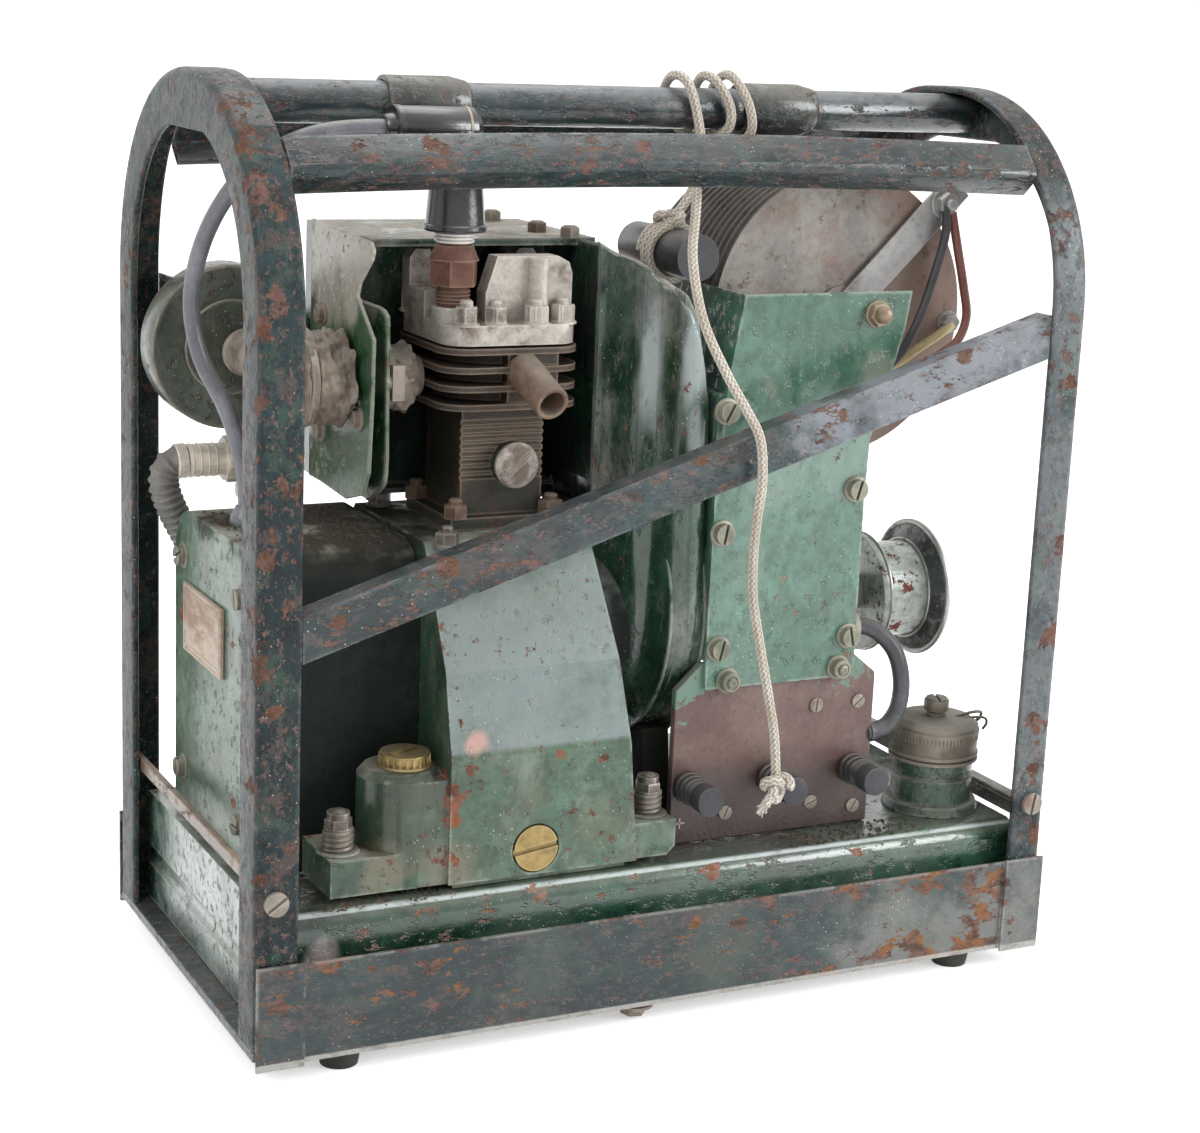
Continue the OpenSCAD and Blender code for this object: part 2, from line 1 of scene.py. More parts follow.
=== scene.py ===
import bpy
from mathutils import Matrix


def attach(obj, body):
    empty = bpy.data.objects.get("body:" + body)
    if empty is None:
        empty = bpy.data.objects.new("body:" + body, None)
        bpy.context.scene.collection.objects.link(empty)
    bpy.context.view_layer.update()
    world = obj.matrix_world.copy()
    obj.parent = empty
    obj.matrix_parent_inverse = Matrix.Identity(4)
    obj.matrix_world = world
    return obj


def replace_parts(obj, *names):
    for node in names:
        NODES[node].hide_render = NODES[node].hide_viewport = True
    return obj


bl_info = {
    "name": "Charging set",
    "version": (1, 0, 0),
    "blender": (4, 5, 0),
    "location": "View3D > Sidebar > Charging set",
    "description": "Finish and small parts of a portable charging set, built on its frame",
    "category": "Object",
}

import random
from math import asin, copysign, cos, log2, pi, radians, sin, sqrt, tau

import bpy
from bpy.props import FloatProperty, FloatVectorProperty, IntProperty, PointerProperty
from mathutils import Matrix, Vector, noise

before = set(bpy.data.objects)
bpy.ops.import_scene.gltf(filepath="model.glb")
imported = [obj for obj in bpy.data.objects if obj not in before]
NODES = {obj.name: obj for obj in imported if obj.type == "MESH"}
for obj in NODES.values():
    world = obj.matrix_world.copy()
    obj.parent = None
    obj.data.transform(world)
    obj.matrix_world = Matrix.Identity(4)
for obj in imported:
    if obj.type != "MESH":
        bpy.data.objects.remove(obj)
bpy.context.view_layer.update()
MM = 0.001
WELD_GAP = 0.00001
UP, DOWN, LEFT, RIGHT, FRONT, BACK = (0, 0, 1), (0, 0, -1), (-1, 0, 0), (1, 0, 0), (0, -1, 0), (0, 1, 0)


# ---- sizes and colours that a user would change ----


def tint(colour, share=1.0):
    """Linear colour of a swatch written as rrggbb, or any colour, darkened to a share of itself"""
    if isinstance(colour, str):
        parts = [int(colour[k : k + 2], 16) / 255 for k in (0, 2, 4)]
        colour = [p / 12.92 if p <= 0.04045 else ((p + 0.055) / 1.055) ** 2.4 for p in parts]
    return tuple(c * share for c in colour)


def swatch(label, text, note):
    """A colour that can be picked, set to a swatch"""
    return FloatVectorProperty(
        name=label, description=note, subtype="COLOR", size=3, min=0.0, max=1.0, default=tint(text),
    )


def measure(label, note, low, high, usual):
    """A length that can be changed between two limits, in metres"""
    return FloatProperty(
        name=label, description=note, subtype="DISTANCE", unit="LENGTH", min=low, max=high, default=usual,
    )


class CageFinish(bpy.types.PropertyGroup):
    """Colours of the carrying cage"""

    paint: swatch("Paint", "122226", "Blue-green paint of the angle iron")
    faded: swatch("Faded paint", "24383b", "Paint where it has gone chalky")
    primer: swatch("Primer", "6a5048", "Red oxide primer where the paint has chipped")
    rust: swatch("Rust", "624636", "Orange rust in the deeper chips")
    bright: swatch("Worn edge", "8d9396", "Polished edges of the iron")
    wear: FloatProperty(
        name="Wear", description="Share of the edges rubbed bright", subtype="FACTOR", min=0.0, max=1.0,
        default=0.55,
    )


class EngineFinish(bpy.types.PropertyGroup):
    """Colours of the engine, tank, cowl and control box"""

    green: swatch("Green", "344e3a", "Paint of the crankcase and the dynamo")
    deep: swatch("Deep green", "163222", "Paint of the cowl and the tank")
    panel: swatch("Panel green", "38604c", "Paint of the control box")
    dust: swatch("Dust", "9a968a", "Dust lying on the upper sides")
    chip: swatch("Chip", "7c5546", "Red-brown chips in the green paint")


class SmallParts(bpy.types.PropertyGroup):
    """Sizes of the fastenings and of the starter cord"""

    screw_head: measure("Screw head", "Diameter of the slotted screws on the box", 0.004, 0.014, 0.0088)
    slot_width: measure("Slot", "Width of the screw slots", 0.0005, 0.003, 0.0013)
    cord_width: measure("Cord", "Diameter of the braided starter cord", 0.003, 0.007, 0.0042)
    spring_turns: IntProperty(
        name="Spring turns", description="Turns of the springs under the mounting nuts", min=2, max=8,
        default=4,
    )


# ---- shader recipes ----


def bevel_edges(piece, width, limit):
    """Rounds the edges that are sharper than the limit, in degrees"""
    edge = piece.modifiers.new("edge", "BEVEL")
    edge.width = width
    edge.segments = 2
    edge.limit_method = "ANGLE"
    edge.angle_limit = radians(limit)


class Recipe:
    """One material, strung together node by node in object space"""

    def __init__(self, name):
        self.material = bpy.data.materials.new(name)
        self.material.use_nodes = True
        self.tree = self.material.node_tree
        self.shader = self.tree.nodes["Principled BSDF"]
        self.where = self.node("ShaderNodeTexCoord").outputs["Object"]
        geometry = self.node("ShaderNodeNewGeometry")
        self.normal = geometry.outputs["Normal"]
        self.colour = None

    def node(self, kind, settings=None, inputs=None):
        made = self.tree.nodes.new(kind)
        for key, value in (settings or {}).items():
            setattr(made, key, value)
        for key, value in (inputs or {}).items():
            self.feed(made.inputs[key], value)
        return made

    def feed(self, socket, value):
        if isinstance(value, bpy.types.NodeSocket):
            self.tree.links.new(value, socket)
        elif isinstance(value, (int, float)):
            socket.default_value = value
        else:
            value = tint(value) if isinstance(value, str) else tuple(value)
            alpha = (1.0,) if len(socket.default_value) == 4 and len(value) == 3 else ()
            socket.default_value = value + alpha

    def place(self, stretch=(1, 1, 1), seed=0.0):
        if stretch == (1, 1, 1) and not seed:
            return self.where
        shift = (seed, seed * 0.7, seed * 1.3)
        return self.node(
            "ShaderNodeMapping", None, {"Vector": self.where, "Scale": stretch, "Location": shift},
        ).outputs["Vector"]

    def noise(self, scale, detail=4.0, rough=0.55, stretch=(1, 1, 1), seed=0.0):
        return self.node(
            "ShaderNodeTexNoise", None,
            {"Vector": self.place(stretch, seed), "Scale": scale,
             "Detail": min(detail, log2(5000 / scale)),  # no grain finer than 0.2 mm
             "Roughness": rough},
        ).outputs["Fac"]

    def sum(self, operation, first, second=0.0):
        made = self.node("ShaderNodeMath", {"operation": operation, "use_clamp": False})
        self.feed(made.inputs[0], first)
        self.feed(made.inputs[1], second)
        return made.outputs[0]

    def times(self, first, second):
        return self.sum("MULTIPLY", first, second)

    def most(self, first, second):
        return self.sum("MAXIMUM", first, second)

    def between(self, value, low, high, start=0.0, end=1.0):
        return self.node("ShaderNodeMapRange", {"interpolation_type": "SMOOTHSTEP", "clamp": True},
            {"Value": value, "From Min": low, "From Max": high, "To Min": start,
                "To Max": end}).outputs["Result"]

    def mix(self, amount, under, over):
        made = self.node("ShaderNodeMix", {"data_type": "RGBA", "clamp_factor": True})
        self.feed(made.inputs[0], amount)
        self.feed(made.inputs[6], under)
        self.feed(made.inputs[7], over)
        return made.outputs[2]

    def cover(self, mask, over, amount=None):
        """Lays a colour over what is there, as far as the mask and the amount let it"""
        if amount is not None:
            mask = self.times(mask, amount)
        self.colour = self.mix(mask, self.colour, over)

    def specks(self, scale, size, share, seed=0.0):
        cells = self.node("ShaderNodeTexVoronoi", None, {"Vector": self.place((1, 1, 1), seed),
                "Scale": scale})
        keep = self.node("ShaderNodeSeparateColor", None, {"Color": cells.outputs["Color"]}).outputs[0]
        dot = self.between(cells.outputs["Distance"], size, size * 0.6)
        return self.times(dot, self.between(keep, 1.0 - share, 1.0 - share + 0.02))

    def edges(self, width, low=0.03, high=0.25):
        rounded = self.node("ShaderNodeBevel", {"samples": 3}, {"Radius": width}).outputs["Normal"]
        dot = self.node("ShaderNodeVectorMath", {"operation": "DOT_PRODUCT"})
        self.feed(dot.inputs[0], rounded)
        self.feed(dot.inputs[1], self.normal)
        return self.between(self.sum("SUBTRACT", 1.0, dot.outputs["Value"]), low, high)

    def facing(self, axis, low, high):
        """How far the surface faces along an axis: 0 for X, 1 for Y, 2 for Z"""
        parts = self.node("ShaderNodeSeparateXYZ", None, {"Vector": self.normal})
        return self.between(parts.outputs[axis], low, high)

    def along(self, axis, low, high):
        """Ramp along an axis of the part, in metres"""
        parts = self.node("ShaderNodeSeparateXYZ", None, {"Vector": self.where})
        return self.between(parts.outputs[axis], low, high)

    def spots(self, places, seed=3.0):
        """Patches at given places: (x, y, z, radius) in millimetres, their outline ragged"""
        drift = self.noise(105, 5.0, 0.65, seed=seed)
        found = None
        for x, y, z, radius in places:
            apart = self.node("ShaderNodeVectorMath", {"operation": "DISTANCE"})
            self.feed(apart.inputs[0], self.where)
            self.feed(apart.inputs[1], (x * MM, y * MM, z * MM))
            reach = self.sum("DIVIDE", apart.outputs["Value"], radius * MM)
            ragged_reach = self.sum("ADD", reach, self.times(self.sum("SUBTRACT", drift, 0.5), 4.5))
            spot = self.between(ragged_reach, 1.0, 0.86)
            found = spot if found is None else self.most(found, spot)
        return self.times(found, self.between(self.noise(230, 6, 0.7, seed=seed + 1.5), 0.36, 0.44))

    def clouds(self, places, seed=9.0, tall=1.0):
        """Soft patches at given places: (x, y, z, radius) in millimetres, drawn out upwards if tall"""
        drift = self.noise(48, 3.5, 0.68, (1, 1, 1 / tall), seed)
        where = self.where
        if tall != 1.0:
            where = self.node("ShaderNodeMapping", None,
                {"Vector": where, "Scale": (1, 1, 1 / tall)}).outputs[0]
        found = None
        for x, y, z, radius in places:
            apart = self.node("ShaderNodeVectorMath", {"operation": "DISTANCE"})
            self.feed(apart.inputs[0], where)
            self.feed(apart.inputs[1], (x * MM, y * MM, z * MM / tall))
            reach = self.sum("DIVIDE", apart.outputs["Value"], radius * MM)
            reach = self.sum("ADD", reach, self.times(self.sum("SUBTRACT", drift, 0.5), 2.2))
            spot = self.between(reach, 1.15, 0.35)
            found = spot if found is None else self.most(found, spot)
        return found

    def finish(self, rough, metal=0.0, height=None, depth=0.0002, coat=0.0):
        self.feed(self.shader.inputs["Base Color"], self.colour)
        self.feed(self.shader.inputs["Roughness"], rough)
        self.feed(self.shader.inputs["Metallic"], metal)
        if coat is not None:
            self.shader.inputs["Coat Weight"].default_value = coat
        self.shader.inputs["Coat Roughness"].default_value = 0.16
        if height is not None:
            bump = self.node("ShaderNodeBump", None, {"Height": height, "Distance": depth, "Strength": 1.0})
            for socket in ("Normal", "Coat Normal"):
                self.feed(self.shader.inputs[socket], bump.outputs["Normal"])
        return self.material


def dress(node, material, width=0.0, limit=30.0):
    """Gives a carried-over part its finish, and rounds its edges by a small real radius if one is given"""
    part = NODES[node]
    part.data.materials.clear()
    part.data.materials.append(material)
    if width:
        part.modifiers.new("join", "WELD").merge_threshold = WELD_GAP
        bevel_edges(part, width, limit)
        part.modifiers["edge"].harden_normals = True
        part.modifiers["edge"].use_clamp_overlap = True


def old_paint(name, paint, faded, dust, chip, rust, bright, dusty=0.6, chips=0.35, places=(), rusty=(),
        wear=0.5, grime=0.35, fleck=0.06, streak=(1, 1, 1), sheen=0.42, seed=0.0, pale=(), pale_dust_and_sheen="b3b2a8",
        tall=1.0, stains_and_shade=(), stain="2c2922", shaded=(), dust_and_sheen_film=(), hem=(), gloss=0.5, mottle=0.0, extra=(),
        ramps=(), depth=0.00038, glaze=0.4):
    """Enamel that has faded, gathered dust, flaked off in small chips and rusted in places; some of its
    options also paint shade, shadow, highlights and reflections into the colour
    """
    r = Recipe(name)
    cloud = r.between(r.noise(16, 4, 0.62, streak, seed), 0.34, 0.68)
    fine = r.noise(170, 7, 0.74, streak, seed + 2)
    r.colour = r.mix(cloud, paint, faded)
    r.cover(r.between(fine, 0.4, 0.66, 0.0, 0.65), tint(paint, 0.42))
    low = r.between(r.noise(55, 5, 0.74, seed=seed + 4), 0.46, 0.64)
    r.cover(low, tint(paint, 0.3), grime)
    if mottle:
        brown = r.between(r.noise(80, 5, 0.78, streak, seed + 19), 0.51, 0.58)
        r.cover(brown, "4b413d", 0.55 * mottle)
        green = r.between(r.noise(66, 5, 0.78, streak, seed + 20), 0.52, 0.6)
        r.cover(green, "2c4037", 0.6 * mottle)
        flecks = r.between(r.noise(330, 6, 0.8, streak, seed + 21), 0.57, 0.62)
        r.cover(flecks, chip, 0.6 * mottle)
    up = r.facing(2, 0.15, 0.75)
    lie = r.between(r.noise(60, 5, 0.76, seed=seed + 5), 0.34, 0.6)
    settled = r.times(r.times(up, r.sum("ADD", r.times(lie, 0.7), 0.3)), dusty)
    thin = r.times(r.between(r.noise(34, 5, 0.78, (1, 1, 0.5), seed + 6), 0.48, 0.72), dusty * 0.35)
    r.cover(r.most(settled, thin), dust)
    # Pale film on front faces above a level: dust, and a painted reflection of the bright surroundings on the
    # upper face
    if dust_and_sheen_film:
        start, end, over, amount = dust_and_sheen_film
        cover = r.times(r.along(2, start * MM, end * MM), r.facing(1, -0.3, -0.75))
        cover = r.times(cover, r.between(r.noise(38, 5, 0.74, seed=seed + 13), 0.22, 0.62, 0.45, 1.0))
        r.cover(cover, over, amount)
    # Dark clouds: real stains and grime on most parts, painted shadow inside the cowl and painted shade where
    # the crankcase meets the cowl
    if stains_and_shade:
        stain_and_shade_mask = r.clouds(stains_and_shade, seed + 14)
        r.cover(stain_and_shade_mask, stain, 0.92)
        settled = r.most(settled, stain_and_shade_mask)
    # Pale clouds: painted highlights on the cowl's ridges, painted light on the heat shield's upper sheet,
    # pale patches elsewhere
    if pale:
        r.cover(r.clouds(pale, seed + 15, tall), pale_dust_and_sheen, 0.8)
    # Further clouds of colour: real stains on some parts, painted light and reflection on others, such as the
    # right of the cage, the tank's end and the box's upper front
    for places_of, over, amount in extra:
        r.cover(r.clouds(places_of, seed + 22), over, amount)
    # Bands along an axis on faces turned one way: a painted highlight along the tank's top front edge, and a
    # dark band on the pulley's rim
    for axis, start, end, over, amount, look, near, far in ramps:
        band = r.times(r.along(axis, start * MM, end * MM), r.facing(look, near, far))
        r.cover(r.times(band, r.between(fine, 0.3, 0.5, 0.55, 1.0)), over, amount)
    loose = r.between(r.noise(24, 3, 0.6, seed=seed + 7), 0.42, 0.64)
    grain = r.noise(215, 9, 0.74, streak, seed + 8)
    edge = r.edges(0.0022)
    ready = r.sum("ADD", grain, r.times(loose, 0.09))
    ready = r.sum("ADD", ready, r.times(edge, 0.2 * wear))
    if places:
        ready = r.sum("ADD", ready, r.times(r.clouds(places, seed + 1), 0.18))
    limit = 0.728 - 0.16 * chips
    gone = r.between(ready, limit, limit + 0.022)
    tone = r.noise(70, 4, 0.72, seed=seed + 12)
    eaten = r.between(tone, 0.47, 0.58)
    if rusty:
        worse = r.clouds(rusty, seed + 11)
        gone = r.most(gone, r.between(r.sum("ADD", grain, r.times(worse, 0.3)), 0.66, 0.69))
        eaten = r.most(eaten, worse)
    under = r.mix(eaten, chip, rust)
    under = r.mix(r.between(fine, 0.44, 0.64), under, tint(chip, 0.4))
    r.cover(gone, under)
    rubbed = r.between(r.noise(60, 4, 0.7, seed=seed + 10), 0.64 - 0.35 * wear, 0.7 - 0.3 * wear)
    shine = r.times(edge, rubbed)
    if hem:
        shine = r.most(shine, r.times(r.along(2, hem[0] * MM, hem[1] * MM),
                r.between(fine, 0.35, 0.5, 0.5, 1.0)))
    r.cover(shine, bright, 0.75)
    sprinkled = r.times(r.specks(760, 0.27, fleck * 0.5, seed), r.between(r.noise(22, 2, 0.6, seed=seed + 18),
            0.4, 0.6))
    r.cover(sprinkled, "b9b6ab", 0.8)
    # Painted shade: near black on the faces turned one way, used on the dynamo's front
    if shaded:
        axis, start, end, amount = shaded
        side = r.facing(axis, start, end)
        painted_shade = r.times(side, r.between(r.noise(30, 3, 0.7, seed=seed + 16), 0.2, 0.5, 0.85, 1.0))
        r.cover(painted_shade, "121713", amount)
        settled = r.most(settled, painted_shade)
    dull = r.most(gone, settled)
    rough = r.between(dull, 0.0, 1.0, sheen, 0.85)
    hollow = r.between(grain, limit - 0.13, limit - 0.02)
    height = r.sum("SUBTRACT", r.times(fine, 0.55), r.times(hollow, 0.7))
    r.feed(r.shader.inputs["Coat Weight"], r.between(dull, 0.0, 0.7, gloss, 0.0))
    r.shader.inputs["Specular IOR Level"].default_value = glaze
    return r.finish(rough, 0.0, height, depth, coat=None)


def bare_metal(name, metal, stain, light, metallic=0.75, rough=0.45, scale=1.0, patches=0.5, streak=(1, 1, 1),
        bump=0.0002, seed=0.0, wear=0.5, dusty=0.35):
    """Unpainted metal, dulled and stained"""
    r = Recipe(name)
    cloud = r.noise(45 * scale, 7, 0.68, streak, seed)
    fine = r.noise(260 * scale, 6, 0.7, streak, seed + 1)
    stained = r.between(cloud, 0.62 - 0.25 * patches, 0.74 - 0.18 * patches)
    r.colour = r.mix(r.between(fine, 0.35, 0.7, 0.0, 0.6), metal, tint(metal, 0.6))
    r.cover(stained, stain, 0.85)
    edge = r.times(r.edges(0.0012), wear)
    r.cover(edge, light)
    up = r.times(r.facing(2, 0.35, 0.9), dusty)
    r.cover(up, "8f8a80")
    rough_mix = r.mix(r.most(stained, up), (rough,) * 3, (0.8,) * 3)
    rough_value = r.node("ShaderNodeSeparateColor", None, {"Color": rough_mix}).outputs[0]
    metal_mix = r.sum("SUBTRACT", metallic, r.times(r.most(stained, up), metallic * 0.8))
    return r.finish(rough_value, metal_mix, r.sum("ADD", r.times(fine, 0.6), r.times(cloud, 0.5)), bump)


def moulded(name, base, pale, rough=0.5, dusty=0.3, rubbed=0.4, bump=0.00012, dust="8a857c",
        places=(), over="3f5c4b", gloss=0.0, darker_below=()):
    """Rubber or hard moulding, dulled by handling"""
    r = Recipe(name)
    cloud = r.between(r.noise(40, 6, 0.65), 0.36, 0.66)
    fine = r.noise(320, 5, 0.7, seed=1)
    r.colour = r.mix(cloud, base, pale)
    r.cover(r.between(fine, 0.45, 0.75, 0.0, 0.5), tint(base, 0.5))
    if places:
        r.cover(r.spots(places, seed=4), over, 0.9)
    top = r.facing(2, 0.2, 0.9)
    loose = r.between(r.noise(85, 6, 0.7, seed=2), 0.55, 0.75, 0, 0.5)
    up = r.times(r.most(top, loose), dusty)
    r.cover(up, dust)
    # Darker towards the bottom, below a level with a ragged edge
    if darker_below:
        low_share = r.sum("ADD", r.along(2, darker_below[0] * MM, darker_below[1] * MM),
            r.sum("SUBTRACT", r.noise(40, 6, 0.7), 0.5))
        r.cover(r.between(low_share, 0.15, 0.8), tint(base, 0.25), 0.8)
    r.cover(r.edges(0.0012), tuple(min(1.0, c * 1.8 + 0.04) for c in tint(pale)), rubbed)
    rough_mix = r.mix(up, (rough,) * 3, (0.85,) * 3)
    rough_value = r.node("ShaderNodeSeparateColor", None, {"Color": rough_mix}).outputs[0]
    return r.finish(rough_value, 0.0, fine, bump, coat=gloss)


# ---- solids for the small parts ----


def lying(axis):
    """Turns Z onto the axis, X kept level and Y pointing up"""
    out = Vector(axis).normalized()
    level = Vector(RIGHT) if abs(out.z) > 0.999 else Vector(UP).cross(out).normalized()
    return Matrix((level, out.cross(level), out)).transposed()


def circle(count, radius, x=0.0, y=0.0):
    """Points at even steps round a circle"""
    return [(x + radius * cos(tau * k / count), y + radius * sin(tau * k / count)) for k in range(count)]


def tube(rings, sides, ends=True):
    """Faces that join rings of points one after the other, and close the ends"""
    faces = []
    for i in range(rings - 1):
        for k in range(sides):
            n = (k + 1) % sides
            faces.append((i * sides + k, i * sides + n, (i + 1) * sides + n, (i + 1) * sides + k))
    if ends:
        faces.append(tuple(reversed(range(sides))))
        faces.append(tuple((rings - 1) * sides + k for k in range(sides)))
    return faces


def link_mesh(name, points, faces, *materials):
    """Makes an object of points and faces and puts it in the scene"""
    mesh = bpy.data.meshes.new(name)
    mesh.from_pydata([tuple(p) for p in points], [], faces)
    mesh.shade_smooth()
    for material in materials:
        mesh.materials.append(material)
    piece = bpy.data.objects.new(name, mesh)
    bpy.context.scene.collection.objects.link(piece)
    return piece


class Stock:
    """Gathers small solids, drawn in millimetres, and makes one piece of them"""

    def __init__(self):
        self.points = []
        self.faces = []

    def add(self, points, faces, at=(0, 0, 0), axis=UP, turn=0.0):
        lie = lying(axis) @ Matrix.Rotation(radians(turn), 3, "Z")
        start = len(self.points)
        self.points += [(Vector(at) + lie @ Vector(p)) * MM for p in points]
        self.faces += [tuple(start + k for k in face) for face in faces]

    def turned(self, outline, at, axis=UP, sides=32):
        """Outline of (radius, height) pairs spun about the axis, its ends closed"""
        points = [(x, y, height) for radius, height in outline for x, y in circle(sides, radius)]
        self.add(points, tube(len(outline), sides), at, axis)

    def prism(self, outline, height, at, axis=UP, turn=0.0, base=0.0, taper=0.0):
        """Flat outline raised along the axis"""
        n = len(outline)
        points = [(x, y, base) for x, y in outline]
        points += [(x, y, base + height * (1 - taper)) for x, y in outline]
        faces = [tuple(reversed(range(n)))]
        faces += [(k, (k + 1) % n, n + (k + 1) % n, n + k) for k in range(n)]
        if taper:
            points += [(x * (1 - taper * 0.5), y * (1 - taper * 0.5), base + height) for x, y in outline]
            faces += [(n + k, n + (k + 1) % n, 2 * n + (k + 1) % n, 2 * n + k) for k in range(n)]
            faces.append(tuple(2 * n + k for k in range(n)))
        else:
            faces.append(tuple(n + k for k in range(n)))
        self.add(points, faces, at, axis, turn)

    def swept(self, path, radius, sides=12):
        """Round bar along a path"""
        path = [Vector(p) for p in path]
        last = len(path) - 1
        side = Vector((0.13, 0.21, 0.97))
        points = []
        for i, p in enumerate(path):
            along = (path[min(i + 1, last)] - path[max(i - 1, 0)]).normalized()
            side = (side - side.dot(along) * along).normalized()
            up = along.cross(side)
            size = radius(i / last) if callable(radius) else radius
            for k in range(sides):
                a = tau * k / sides
                points.append(p + size * (cos(a) * side + sin(a) * up))
        self.add(points, tube(last + 1, sides))

    def screw(self, at, axis, wide, slot_turn=0.0, washer=0.0, tall=0.0, slot=None):
        """Slotted cheese head, with a washer under it if wanted"""
        r = wide / 2
        tall = tall or wide * 0.36
        slot = slot or wide * 0.15
        base = 0.0
        if washer:
            self.turned([(washer / 2, -0.2), (washer / 2, 0.7), (washer / 2 - 0.3, 0.9)], at, axis, 32)
            base = 0.9
        floor = base + tall * 0.45
        self.turned([(r, base - 0.4), (r, floor)], at, axis, 32)
        for flip in (1, -1):
            start = asin(min(0.9, slot / 2 / r))
            steps = 14
            rim = [start + (pi - 2 * start) * k / steps for k in range(steps + 1)]
            ring = [(flip * r * cos(a), flip * r * sin(a)) for a in rim]
            self.prism(ring, base + tall - floor + 0.05, at, axis, slot_turn, floor - 0.05, taper=0.15)

    def nut(self, at, axis, across, tall, turn=0.0, base=0.0):
        """Hexagon nut with its corners turned off"""
        r = across / 2 / cos(pi / 6)
        self.prism(circle(6, r), tall, at, axis, turn, base, taper=0.12)

    def spring(self, at, radius, wire, height, turns):
        """Open coil spring, standing upright"""
        steps = int(turns * 20)
        path = []
        for k in range(steps + 1):
            a = tau * turns * k / steps
            path.append(Vector(at) + Vector((radius * cos(a), radius * sin(a), height * k / steps)))
        self.swept(path, wire / 2, 8)

    def make(self, name, material, slot, body="set", smooth=35.0, bevel=0.0):
        piece = link_mesh(name, self.points, self.faces, material)
        piece.data.validate()
        piece.data.set_sharp_from_angle(angle=radians(smooth))
        if bevel:
            bevel_edges(piece, bevel, 40)
        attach(piece, body)
        return piece


def evenly(path, count):
    """Points at even steps along a path"""
    path = [Vector(p) for p in path]
    runs = [0.0]
    for a, b in zip(path, path[1:]):
        runs.append(runs[-1] + (b - a).length)
    total = runs[-1]
    even = []
    k = 0
    for i in range(count + 1):
        s = total * i / count
        while k < len(path) - 2 and runs[k + 1] < s:
            k += 1
        even.append(path[k].lerp(path[k + 1], (s - runs[k]) / max(1e-9, runs[k + 1] - runs[k])))
    return even, total


def corner(x, y, radius, start, end, steps=6):
    """Points round a corner, angles in degrees"""
    turn = [radians(start + (end - start) * k / steps) for k in range(steps + 1)]
    return [(x + radius * cos(a), y + radius * sin(a)) for a in turn]


def rounded(points, steps):
    """Smooth path through the points"""
    last = len(points) - 1
    path = []
    for i in range(last):
        a, b, c, d = (Vector(points[min(max(k, 0), last)]) for k in (i - 1, i, i + 1, i + 2))
        for k in range(steps):
            t = k / steps
            square, cube = 2 * a - 5 * b + 4 * c - d, 3 * b - a - 3 * c + d
            path.append(0.5 * (2 * b + (c - a) * t + square * t * t + cube * t**3))
    path.append(Vector(points[last]))
    return path


# ---- operators, one for each group of pieces ----


class PlaceCamera(bpy.types.Operator):
    """Sets up the camera that looks at the set from its front left corner"""

    bl_idname = "charging_set.place_camera"
    bl_label = "Camera"

    def execute(self, context):
        data = bpy.data.cameras.new("camera")
        camera = bpy.data.objects.new("camera", data)
        context.scene.collection.objects.link(camera)
        camera.location = (-0.45124, -0.90325, 0.41048)
        camera.rotation_euler = [radians(a) for a in (76.649, -2.348, -26.222)]
        data.lens = 72.57
        context.scene.camera = camera
        return {"FINISHED"}


CORD_POINTS = [(20, -20, 317.8), (21, -20, 321), (28, -19, 329), (36, -15, 342), (36, -12, 358),
    (32, -8.5, 375), (30, 2, 378.3), (31, 11.8, 370), (36, 10.4, 358), (44, 0, 352), (50, -10.4, 357),
    (50, -12.4, 366), (46, -7.5, 376), (44, 2, 378.3), (46, 11.8, 370), (52, 9, 355), (58, -4, 351),
    (60, -13.4, 357), (58, -13.4, 368), (55, -5, 378), (54, 5, 377.8), (52, 12.6, 367), (46, 8.6, 354),
    (36, -4, 350.6), (26, -24, 350), (18, -45, 338), (10, -60, 326), (1, -76, 311), (-2, -92, 290),
    (6, -98, 270), (16, -98, 255), (23, -98, 243), (25, -98, 226), (24, -97, 210), (24, -96, 194),
    (25, -96, 178), (30, -96, 156), (36, -95, 134), (40, -94, 118), (43, -92, 100)]


def braided(name, path, radius, material, strands=6, lay=0.42, relief=0.24, sides=24, step=0.5):
    """Tube of plaited yarn along a path in millimetres, with its plait raised on it"""
    path = [Vector(p) for p in path]
    total = sum((b - a).length for a, b in zip(path, path[1:]))
    last = max(8, int(total / step))
    rings, _ = evenly(path, last)
    side = Vector((0.13, 0.21, 0.97))
    points = []
    grooves = []
    for i, p in enumerate(rings):
        twist = lay * total * i / last
        along = (rings[min(i + 3, last)] - rings[max(i - 3, 0)]).normalized()
        side = (side - side.dot(along) * along).normalized()
        up = along.cross(side)
        for j in range(sides):
            a = tau * j / sides
            one = strands * (a + twist) / 2
            two = strands * (a - twist) / 2
            over = 0.5 + 0.5 * sin(one - two)
            high = max(abs(cos(one)) * (0.62 + 0.38 * over), abs(cos(two)) * (1.0 - 0.38 * over))
            size = radius * (1 - relief + relief * high)
            points.append((p + size * (cos(a) * side + sin(a) * up)) * MM)
            grooves.append(1.0 - high)
    cord = link_mesh(name, points, tube(last + 1, sides), material)
    cord.data.attributes.new("groove", "FLOAT", "POINT").data.foreach_set("value", grooves)
    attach(cord, "set")
    return cord, [tuple(p * MM) for p in path], total * MM


def knotted(gap, count=40):
    """A simple knot of unit size, open by the gap at both ends"""
    for k in range(count + 1):
        t = gap + (tau - 2 * gap) * k / count
        yield sin(t) + 2 * sin(2 * t), -sin(3 * t), cos(t) - 2 * cos(2 * t)


